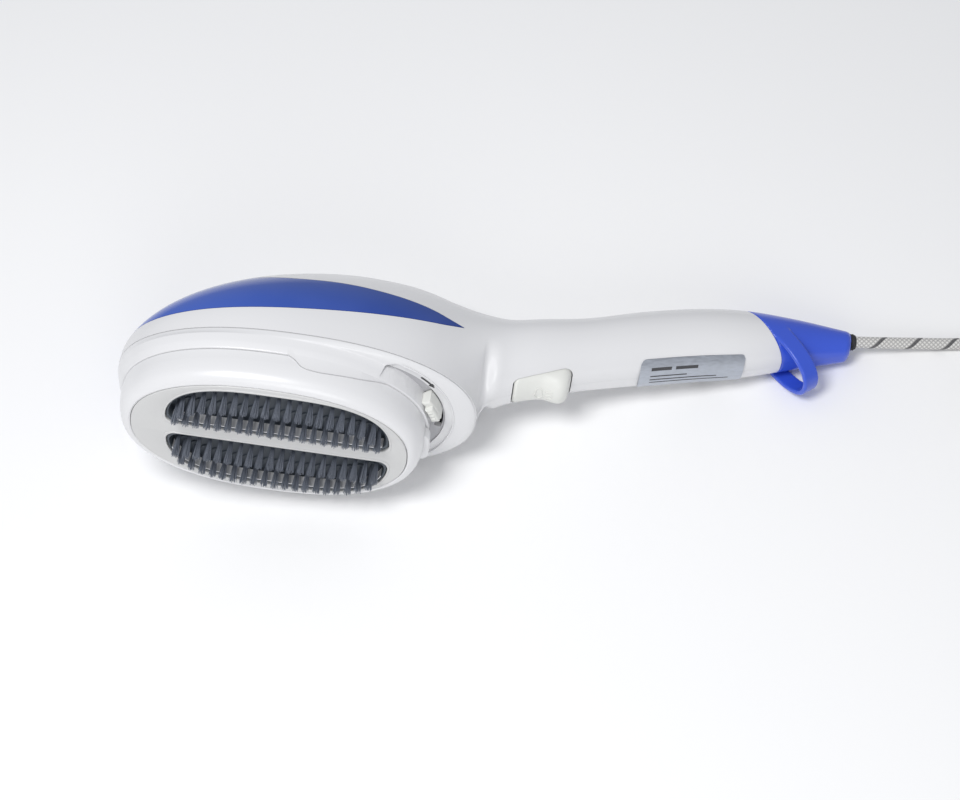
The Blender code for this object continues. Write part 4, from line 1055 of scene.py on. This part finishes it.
def rounded_profile(profile, size):
    """The closed profile with each corner replaced by a short curve."""
    made = []
    points = [Vector(p) for p in profile]
    for before, point, after in zip([points[-1], *points[:-1]], points, [*points[1:], points[0]]):

        def toward(other):
            span = hypot(other[0] - point[0], other[3] - point[3])
            return point.lerp(other, min(size / max(span, 1e-6), 0.45))

        start, end = toward(before), toward(after)
        for t in (0.0, 0.33, 0.67, 1.0):
            made.append(start.lerp(point, t).lerp(point.lerp(end, t), t))
    return made


def scallop(shrink):
    """The dip in the cover's upper edge on each side, which the base's apron fills."""
    edge = ((5, 17.4), (9, 15.2), (13, 11.6), (18, 10.5), (26, 10.8), (41, 13.2), (50, 16.0), (57, 17.6))
    line = [(p.x, p.y + shrink) for p in through(edge, 8)]
    line[0] = (edge[0][0] + shrink, 17.4)
    line[-1] = (edge[-1][0] - shrink, 17.6)
    return raw("scallop", prism([*line, (edge[-1][0] - shrink, 24), (edge[0][0] + shrink, 24)], "y", -60, 60))


def crescent(radius, inner_rear, low, high):
    """The crescent between the arc about the lock's axis and the cover's outline."""
    arc = [about_lock(radius, radians(74) * k / 40) for k in range(-40, 41)]
    half_width = COVER_HALF_WIDTH + 0.7
    back = [(inner_rear * abs(cos(a)) ** (2 / SEAM_POWER),
             half_width * signed_power(sin(a), 2 / SEAM_POWER))
            for a in [radians(52) * k / 40 for k in range(40, -41, -1)]]
    return raw("crescent", prism(arc + back, "z", low, high))


def lock_slot():
    """A cutter for the slot that the lock's stem slides in."""
    section = ring_section(LOCK_STEM_RADIUS - 1.8, LOCK_STEM_RADIUS + 1.8, LOCK_AT - 10.5,
                           LOCK_AT + 10.5 + LOCK_TRAVEL)
    return raw("slot", prism(section, "z", 26.0, 32.0))


def make_base():
    """The head's lower ring, with its two aprons, the crescent recess, its terrace and the lock's slot."""
    low = COVER_TOP + GAP
    inner_top = SEAM_Z + 1.2
    profile = ((SEAM_Z - GAP / 2, SEAM_NOSE, SEAM_REAR, SEAM_HALF_WIDTH), (27.4, -78.4, 94.0, 49.1),
               (25.9, -78.1, 86.0, 49.0), (25.3, -77.9, 77.5, 48.8), (21.0, -76.4, 75.9, 48.3),
               (low, -74.6, 75.2, 47.4), (low, -72.4, 72.8, 45.0), (22.0, -73.8, 73.1, 46.0),
               (inner_top, -73.4, 73.4, 44.9), (inner_top, -74.9, 86.0, 45.9),
               (SEAM_Z - GAP / 2, -74.9, 86.0, 45.9))
    base = raw("base_shell", sweep(rounded_profile(profile, 0.45)))
    apron = raw("apron", sweep(((9.0, -74.4, 74.4, 47.1), (19.5, -74.9, 75.0, 47.6),
                                (19.5, -72.8, 72.8, 45.2), (9.0, -72.2, 72.2, 44.9))))
    boolean(apron, scallop(GAP), "INTERSECT")
    boolean(base, apron, "UNION")
    boolean(base, crescent(RECESS_RADIUS, 75.3, 15.0, LOCK_CENTRE[2]))
    boolean(base, crescent(TERRACE_RADIUS, 75.3, 15.0, TERRACE_Z))
    boolean(base, lock_slot())
    dress(base, WHITE, "housing", "white_plastic", ("base_ring",))


def make_recess_shade_and_bead():
    """The raised bead round the recess, and a grey sheet on the recess floor under the lock's knob that is painted
    shade of the recess.
    """
    # Painted shade: this grey sheet lies over the white recess floor to darken it as the recess's shade
    shade_sheet = crescent(RECESS_RADIUS - 0.15, 74.9, LOCK_CENTRE[2] - 0.22, LOCK_CENTRE[2] - 0.02)
    boolean(shade_sheet, lock_slot())
    shade_sheet.name = "recess_shade_sheet"
    dress(shade_sheet, RECESS_SHADE_GREY, "housing", "white_plastic")
    bead = [(*about_lock(BEAD_RADIUS, radians(a)), 25.95) for a in range(-70, 71, 2)]
    radii = [0.15, *[0.45] * (len(bead) - 2), 0.15]
    piece("recess_bead", tube(bead, radii, 10), WHITE, "housing", "white_plastic")


def ring_section(inner, outer, start, end, steps=16):
    """The outline of a stretch of a ring about the lock's axis, between two angles in degrees."""
    angles = [radians(start + (end - start) * k / steps) for k in range(steps + 1)]
    return [about_lock(outer, a) for a in angles] + [about_lock(inner, a) for a in reversed(angles)]


def make_lock():
    """The lock's knob: a stepped thumb grip on a shoe that slides in the crescent."""
    def part(name, inner, outer, before, after, *heights_and_rounding):
        section = ring_section(inner, outer, LOCK_AT - before, LOCK_AT + after)
        return raw(name, plate([section], *heights_and_rounding))

    knob = part("lock_knob", 33.1, 37.8, LOCK_HALF, LOCK_HALF, 19.6, LOCK_CENTRE[2] - 0.5, 1.2, 5)
    grip = part("grip", 33.4, 37.5, 6, 9.5, 17.3, 23.0, 1.2, 5)
    stem = part("stem", LOCK_STEM_RADIUS - 1.4, LOCK_STEM_RADIUS + 1.4, 9.5, 9.5, 27.0, 31.5)
    shoe = part("shoe", 31.6, 39.0, 13, 13, SEAM_Z + 1.5, SEAM_Z + 3.0)
    for other in (grip, stem, shoe):
        boolean(knob, other, "UNION")
    for shift in (-2.4, 1.2, 4.8):
        line = [(*about_lock(r, radians(LOCK_AT + shift)), 17.35) for r in (34.3, 34.6, 36.3, 36.6)]
        boolean(knob, raw("rib", tube(line, (0.25, 0.5, 0.5, 0.25), 12)), "UNION")
    dress(knob, CREAM, "lock", "cream_plastic", ("lock_slider",))


def make_arrow():
    """A plain printed arrow beside the lock, which points the way that it opens."""
    shaft = ring_section(39.6, 40.4, -52, -42, 8)
    head = [about_lock(r, radians(a)) for r, a in ((38.6, -42.4), (41.4, -42.4), (40.0, -38.2))]
    bm = plate([shaft], TERRACE_Z - 0.25, TERRACE_Z + 0.1)
    mesh = bpy.data.meshes.new("head")
    plate([head], TERRACE_Z - 0.25, TERRACE_Z + 0.1).to_mesh(mesh)
    bm.from_mesh(mesh)
    piece("lock_arrow", bm, INK, "housing", "white_plastic")


def make_cover():
    """The brush cover, and the lug that the lock catches. It is as long before the middle as behind it."""
    def even(rows):
        return [(z, -half_length, half_length, half_width) for z, half_length, half_width in rows]

    curve = through(even(((0.3, 67.9, 40.7), (1.0, 69.8, 42.6), (2.6, 71.5, 44.3), (5.0, 72.8, 45.6),
                          (8.5, 73.7, 46.4), (12.0, COVER_LONG, COVER_HALF_WIDTH))), 4)
    rest = rounded_profile(even(((COVER_TOP, COVER_LONG, COVER_HALF_WIDTH), (COVER_TOP, 72.0, 44.7),
                                 (4.6, 70.6, 43.3), (4.6, 65.2, 38.6), (2.5, 65.2, 38.6), (2.5, 67.2, 40.0),
                                 (0.3, 67.2, 40.0))), 0.35)
    cover = raw("cover_shell", sweep([*curve, *rest]))
    boolean(cover, scallop(0.0))
    ends = [(72.6, 12.5), (75.0, 11.6), (76.4, 8.6), (76.5, 3.0), (76.2, -3.0), (74.8, -6.0), (72.6, -7.0)]
    lug = raw("lug", plate([[*through(ends, 6), (71.0, -7.0), (71.0, 12.5)]], 10.8, 16.6, 0.5, 3))
    boolean(cover, lug, "UNION", "EXACT")
    dress(cover, WHITE, "cover", "white_plastic", ("brush_cover",))


def slot_outline(side, inset):
    """A D: straight along the middle rib, bowed along the sole's edge, with rounded ends."""
    half_length = SLOT_HALF_LENGTH - inset
    inner, outer = SLOT_INNER + inset, SLOT_OUTER - inset
    bow = [(SLOT_MIDDLE + half_length * signed_power(cos(a), 0.62),
            side * (inner + 5 + (outer - inner - 5) * sin(a) ** 0.95))
           for a in [pi * k / 64 for k in range(65)]]
    corner = []
    for sign in (-1, 1):
        end = SLOT_MIDDLE + sign * half_length
        curve = [(end - sign * 5.0 * (1 - cos(a)), side * (inner + 5.0 * (1 - sin(a))))
                 for a in [pi / 2 * k / 8 for k in range(1, 9)]]
        corner.append(curve)
    return bow + corner[0] + list(reversed(corner[1]))


def slot_edge(x):
    """How far out the slot's bowed edge is at x."""
    across = max(1 - abs((x - SLOT_MIDDLE) / SLOT_HALF_LENGTH) ** (1 / 0.31), 0.0) ** 0.475
    return SLOT_INNER + 5 + (SLOT_OUTER - SLOT_INNER - 5) * across


def make_sole():
    """The sole's face, with a raised lip round each slot."""
    holes = [slot_outline(side, 0.0) for side in (-1, 1)]
    bm = plate([outline(-SOLE_LONG, SOLE_LONG, SOLE_HALF_WIDTH, 80), *holes], 0.0, SOLE_THICK, 0.45, 3)
    sole = raw("sole_face", bm)
    dress(sole, GREY, "cover", "sole_grey", ("sole_plate",))
    for side in (-1, 1):
        lip = plate([slot_outline(side, -1.15), slot_outline(side, 0.02)], -0.3, 1.2, 0.28, 2)
        piece(f"slot_lip_{'left' if side < 0 else 'right'}", lip, GREY, "cover", "sole_grey")


def tuft_places(side):
    """Where the tufts of one strip stand: an inner straight row and an outer bowed row."""
    def places(count, row):
        spots = [SLOT_MIDDLE + (i - (count - 1) / 2) * TUFT_PITCH for i in range(count)]
        return [(x, side * row(x)) for x in spots]

    def bowed(x):
        return max(min(slot_edge(x) - 8.0, slot_edge(x * 0.9) - 8.0), TUFT_ROW + 4.2)

    return places(20, lambda x: TUFT_ROW) + places(19, bowed)


def wall_strip(outer, inner, low, high):
    """A thin upright wall between two lines of (x, y) points."""
    outer, inner = sorted(outer), sorted(inner)
    return prism(outer + list(reversed(inner)), "z", low, high)


def make_strip(side, name):
    """One brush strip: a tray with a socket for each tuft, and the tufts as single filaments."""
    rim = plate([slot_outline(side, 0.4), slot_outline(side, 1.6)], 0.5, STRIP_FLOOR, 0.3, 2)
    tray = raw(f"{name}_tray", rim)
    back = raw("back", plate([slot_outline(side, 0.5)], STRIP_FLOOR - 0.4, STRIP_BACK, 0.2, 2))
    boolean(tray, back, "UNION", "EXACT")
    dress(tray, SLATE, "cover", "nylon_bristle", (name,))
    lines = [[p for p in slot_outline(side, inset) if (abs(p[1]) > 16.0 if side > 0 else abs(p[1]) < 8.0)]
             for inset in (1.75, 2.3)]
    piece(f"{name}_wall", wall_strip(*lines, 0.4, STRIP_FLOOR - 2.5), WHITE, "cover", "sole_grey")
    draw = random.Random(17 + side)
    bm = bmesh.new()
    sockets = bmesh.new()
    for x, y in tuft_places(side):
        y += TUFT_SHIFT - TUFT_LEAN
        lathe([(2.3, STRIP_FLOOR - 1.2), (2.5, STRIP_FLOOR - 0.8), (2.5, STRIP_FLOOR)], (x, y, 0), sides=14,
              bm=sockets)
        lean = (draw.uniform(-0.25, 0.25), draw.uniform(-0.25, 0.25) + TUFT_LEAN)
        for k in range(FILAMENTS):
            share = sqrt((k + 0.5) / FILAMENTS)
            angle = k * GOLDEN_ANGLE + draw.uniform(-0.3, 0.3)
            root, tip = 0.45 * share, 1.95 * share + draw.uniform(-0.1, 0.1)
            end = TUFT_TIP + draw.uniform(0.0, 0.9) + 0.5 * share**2
            line = []
            for t in (0.0, 0.35, 0.7, 1.0):
                out = root + (tip - root) * t**1.1
                line.append((x + lean[0] * t + out * cos(angle), y + lean[1] * t + out * sin(angle),
                             STRIP_FLOOR + (end - STRIP_FLOOR) * t))
            tube(line, [FILAMENT_RADIUS * taper for taper in (1.0, 1.0, 0.95, 0.7)], 5, bm)
    piece(f"{name}_sockets", sockets, SLATE, "cover", "nylon_bristle")
    piece(f"{name}_bristles", bm, BRISTLE, "cover", "nylon_bristle", angle=60)


# Tail cap, hanging loop and bushing


def loop_ring(inset, offset):
    """One oval of the hanging loop, in the oblique plane. It widens where it leaves the cap."""
    points = []
    for i in range(96):
        a = tau * i / 96
        web = LOOP_WEB * max(-cos(a), 0.0) ** 1.5 if offset > LOOP_NEAR else 0.0
        start, end, _ = oblique(offset + web, 0.0)
        along = (end - start).normalized()
        middle = start + along * (LOOP_LONG / 2 + LOOP_START)
        u = (LOOP_LONG / 2 - inset) * cos(a)
        v = (LOOP_HALF_WIDTH - inset) * signed_power(sin(a), 0.9)
        place = middle + along * u
        points.append((place.x, v, place.y))
    return points


def make_tail():
    """The tail cap with its rounded end and its hanging loop, blended into one skin."""
    rings = [skin_ring(x) for x in spaced(214, CAP_END_X - CAP_ROUND, 2.0)]
    for k in range(13):
        along = k / 12
        ring = skin_ring(CAP_END_X - CAP_ROUND * (1 - sin(pi / 2 * along)))
        middle = sum(z for _, _, z in ring) / len(ring)
        size = 1 - 0.3 * (1 - cos(pi / 2 * along))
        rings.append([(x, y * size, middle + (z - middle) * size) for x, y, z in ring])
    tail = raw("tail_shell", loft(rings))
    boolean(tail, beyond_oblique(GAP, False))
    corners = ((0, LOOP_NEAR), (0, LOOP_FAR), (LOOP_THICK, LOOP_FAR), (LOOP_THICK, LOOP_NEAR))
    loop = raw("loop", loft([loop_ring(*corner) for corner in corners], closed=True))
    round_edges(loop, 0.8, 3, 40)
    boolean(tail, loop, "UNION", "EXACT")
    remesh = tail.modifiers.new("blend", "REMESH")
    remesh.mode = "VOXEL"
    remesh.voxel_size = 0.42 * MM
    soften = tail.modifiers.new("soften", "SMOOTH")
    soften.factor = 0.5
    soften.iterations = 10
    settle(tail)
    boolean(tail, rod(cord_line(245), cord_line(295), BUSHING_RADIUS + GAP, 48))
    dress(tail, BLUE, "housing", "blue_plastic", ("tail_cap",), 50)


def cord_line(x):
    """The point at x on the line along which the cord leaves the tail cap."""
    start, end = Vector(CORD_LINE[0]), Vector(CORD_LINE[1])
    return start + (end - start) * (x - start.x) / (end.x - start.x)


def make_bushing():
    """The rubber strain relief: a ribbed, tapered sleeve."""
    start, end = cord_line(258), cord_line(CAP_END_X + 2.5)
    along = end - start
    profile = [(CORD_RADIUS + 0.25, 0.0), (BUSHING_RADIUS - 0.2, 0.0), (BUSHING_RADIUS, 0.5)]
    for k in range(4):
        high = along.length - 4.6 + k * 1.0
        profile += [(BUSHING_RADIUS - 0.35, high), (BUSHING_RADIUS - 0.1, high + 0.3),
                    (BUSHING_RADIUS - 0.1, high + 0.55), (BUSHING_RADIUS - 0.45, high + 0.8)]
    profile += [(BUSHING_RADIUS - 0.7, along.length), (CORD_RADIUS + 0.25, along.length)]
    bm = lathe([(r, h) for r, h in profile if h <= along.length], start, along)
    piece("bushing_sleeve", bm, RUBBER, "housing", "black_rubber", ("cord_bushing",))


# Label, filler cap, screws


def make_label():
    """The rating label, wrapped round the handle's under side, with plain bars in place of its print."""
    rings = []
    low, high, half_angle, corner, handle_radius = 174.5, 226.0, radians(37.0), 2.4, 17.8
    for k in range(70):
        x = low + (high - low) * k / 69
        near_end = max(corner - min(x - low, high - x), 0.0)
        lost = (corner - sqrt(max(corner**2 - near_end**2, 0.0))) / handle_radius
        reach = half_angle - lost
        outer = [under_point(x, reach * (2 * i / 24 - 1), 1.3) for i in range(25)]
        inner = [under_point(x, reach * (2 * i / 24 - 1), 0.75) for i in range(25)]
        rings.append(outer + list(reversed(inner)))
    piece("label_plate", loft(rings), SILVER, "housing", "silver_label", ("rating_label",))
    bm = bmesh.new()
    bars = ((-20, 180, 190, 2.6), (-20, 192, 203, 2.6), (-6, 180, 198, 1.0), (2, 180, 213, 1.0),
            (10, 180, 219, 1.0))
    section = ((-1.1, 1.28), (1.1, 1.28), (1.1, 1.36), (-1.1, 1.36))
    for angle, start, end, wide in bars:
        angle = radians(angle)
        rings = [[under_point(x, angle + radians(a * wide), lift) for a, lift in section]
                 for x in spaced(start, end, 2.0) + [end]]
        loft(rings, bm=bm)
    piece("label_rules", bm, INK, "housing", "silver_label")


def make_filler():
    """The filler cap on the dome's top, with a grip bar across it."""
    top = top_height(FILLER_X)
    r = FILLER_RADIUS
    profile = ((r - 3.2, top - 10), (r - 3.2, top - 3.2), (r - 0.3, top - 2.8), (r, top - 2.4),
               (r, top - 0.9), (r - 0.35, top - 0.3), (r - 1.0, top + 0.05), (r - 2.2, top + 0.2),
               (r - 2.6, top + 0.05), (r - 3.2, top - 0.25), (0.4, top - 0.25))
    cap = raw("filler_knob", lathe(profile, (FILLER_X, 0, 0), sides=64))
    oval = [(FILLER_X + 5.6 * cos(a), 1.3 * sin(a)) for a in [tau * k / 40 for k in range(40)]]
    boolean(cap, raw("bar", plate([oval], top - 1.0, top + 0.2, 0.3, 2)), "UNION", "EXACT")
    dress(cap, WHITE, "cap", "white_plastic", ("filler_cap",))


def make_screw_heads():
    """Cross-head screws in the wells of the housing's under side."""
    for number, (x, z) in enumerate(SCREW_WELLS, 1):
        profile = ((1.5, -11), (1.5, 6.2), (3.1, 6.35), (3.2, 7.0), (2.6, 7.9), (1.4, 8.3), (0.2, 8.35))
        head = raw(f"cross_screw_{number}", lathe(profile, (x, 0, z), (0, 1, 0), 32))
        for wide, high in ((1.7, 0.35), (0.35, 1.7)):
            boolean(head, block((x - wide, 7.3, z - high), (x + wide, 9.0, z + high)), solver="EXACT")
        dress(head, STEEL, "housing", "steel", (f"housing_screw_{number}",))


# Tie and plug


def make_tie():
    """A hook-and-loop strap round the coil's two layers."""
    x = COIL_AT[0]
    low, high = COIL_AT[1] - 45.9, COIL_AT[1] - 20.1
    bottom, top, bend = 0.15, 13.7, 2.4
    path = []
    for cy, cz, start in ((high - bend, bottom + bend, -90), (high - bend, top - bend, 0),
                          (low + bend, top - bend, 90), (low + bend, bottom + bend, 180)):
        path += [(cy + bend * cos(radians(start + a)), cz + bend * sin(radians(start + a)))
                 for a in range(0, 91, 15)]

    def inner(y, z):
        cy, cz = (low + high) / 2, (bottom + top) / 2
        return (y - copysign(0.45, y - cy) if abs(y - cy) > 9 else y,
                z - copysign(0.3, z - cz))

    rings = []
    for u in (-3.0, -2.85, 2.85, 3.0):
        shrink = 0.12 if abs(u) == 3.0 else 0.0
        rings.append([(x + u, y - copysign(shrink, y - (low + high) / 2), z - copysign(shrink, z - 7))
                      for y, z in path])
    for u in (2.9, -2.9):
        rings.append([(x + u, *inner(y, z)) for y, z in path])
    strap = loft(rings, closed=True)
    return piece("tie_strap", strap, BLACK, "housing", "black_plastic", ("cord_tie",), FLOOR)


def make_plug():
    """A moulded two-pin plug: waisted grip with finger ribs, and a ribbed tail."""
    front = PLUG_X + 48.0
    stations = ((18.0, 5.6, 5.6, 2.0), (20.5, 8.2, 7.0, 2.2), (24.0, 12.3, 8.6, 2.6), (28.0, 15.4, 9.5, 3.0),
                (32.0, 17.0, 9.85, 3.4), (37.0, 17.4, 9.9, 3.6), (42.0, 17.4, 9.9, 3.6),
                (46.6, 17.4, 9.9, 3.6), (47.6, 17.0, 9.5, 3.4), (48.0, 16.2, 8.8, 3.2))
    rings = []
    for at, half_width, half_high, power in through(stations, 4):
        rings.append([(PLUG_X + at,
                       PLUG_Y + half_width * signed_power(cos(a), 2 / power),
                       PLUG_Z + half_high * signed_power(sin(a), 2 / power))
                      for a in [tau * k / 72 for k in range(72)]])
    plug = raw("plug_shell", loft(rings), FLOOR)
    for side in (-1, 1):
        at = PLUG_Y + side * 9.5
        hole = raw("hole", lathe([(2.7, 0), (2.7, 16)], (front - 8, at, PLUG_Z), (1, 0, 0), 32), FLOOR)
        boolean(plug, hole, solver="EXACT")
        for k in range(4):
            out = side * (15.4 + min(k, 1) * 1.1)
            line = [(PLUG_X + 27 + 3.2 * k, PLUG_Y + out, PLUG_Z + z) for z in (-6, -3, 0, 3, 6)]
            ridge = raw("ridge", tube(line, (0.3, 0.8, 0.9, 0.8, 0.3), 10), FLOOR)
            boolean(plug, ridge, "UNION", "EXACT")
    dress(plug, BLACK, "housing", "black_plastic", ("plug_body",))
    profile = [(3.15, 0.0), (3.8, 0.2)]
    for k in range(6):
        high, radius = 1.2 + k * 2.9, 3.9 + 0.27 * k
        profile += [(radius + out, high + along) for out, along in
                    ((0.0, 0.0), (0.15, 0.4), (0.15, 1.5), (-0.1, 1.8), (-0.75, 2.0), (-0.75, 2.7))]
    profile += [(5.6, 18.6), (5.6, 20.0)]
    relief = piece("plug_relief", lathe(profile, (PLUG_X, PLUG_Y, PLUG_Z), (1, 0, 0)), BLACK, "housing",
                   "black_plastic", place=FLOOR)
    return [plug, relief, *[node for name, node in frame["nodes"].items() if name.startswith("plug_pin")]]


make_shells()
make_base()
make_cover()
make_sole()
make_strip(-1, "brush_strip_left")
make_strip(1, "brush_strip_right")
make_lock()
make_recess_shade_and_bead()
make_arrow()
make_trigger()
make_trigger_mark()
make_spring()
make_tail()
make_bushing()
make_label()
make_filler()
make_screw_heads()
declare_cord([make_tie(), *make_plug()])


# The floor and the lights


def make_floor():
    bm = bmesh.new()
    bmesh.ops.create_grid(bm, x_segments=8, y_segments=8, size=3.0)
    obj = raw("floor", bm, Matrix.Identity(4))
    nodes = Nodes("floor")
    tone = nodes.span(nodes.noise(3.0, 2.0), 0.3, 0.7)
    nodes.join(nodes.mix(tone, (0.965, 0.965, 0.965), (0.972, 0.972, 0.972)), nodes.shader, "Base Color")
    set_shader(nodes, {"Roughness": 0.9, "Specular IOR Level": 0.1})
    obj.data.materials.append(nodes.material)
    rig.stage(obj)


def area_light(name, place, target, size, power):
    data = bpy.data.lights.new(name, "AREA")
    data.shape = "DISK"
    data.size = size
    data.energy = power
    obj = bpy.data.objects.new(name, data)
    bpy.context.scene.collection.objects.link(obj)
    obj.location = place
    obj.rotation_euler = (Vector(target) - Vector(place)).to_track_quat("-Z", "Y").to_euler()


def light_scene():
    world = bpy.data.worlds.new("studio")
    bpy.context.scene.world = world
    world.use_nodes = True
    background = world.node_tree.nodes["Background"]
    background.inputs["Color"].default_value = (0.93, 0.95, 1.0, 1.0)
    background.inputs["Strength"].default_value = 0.42
    area_light("key", (-0.25, -0.42, 1.2), (-0.02, 0, 0.05), 0.5, 9.5)
    area_light("front", (0.15, -1.2, 0.75), (0, 0, 0.05), 0.7, 3.0)
    bpy.context.scene.view_settings.view_transform = "Standard"


make_floor()
light_scene()
json.dump({"cad": [list(c) for c in cad_box], "visual": [list(c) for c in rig.bounds()]},
          open("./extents.json", "w"))
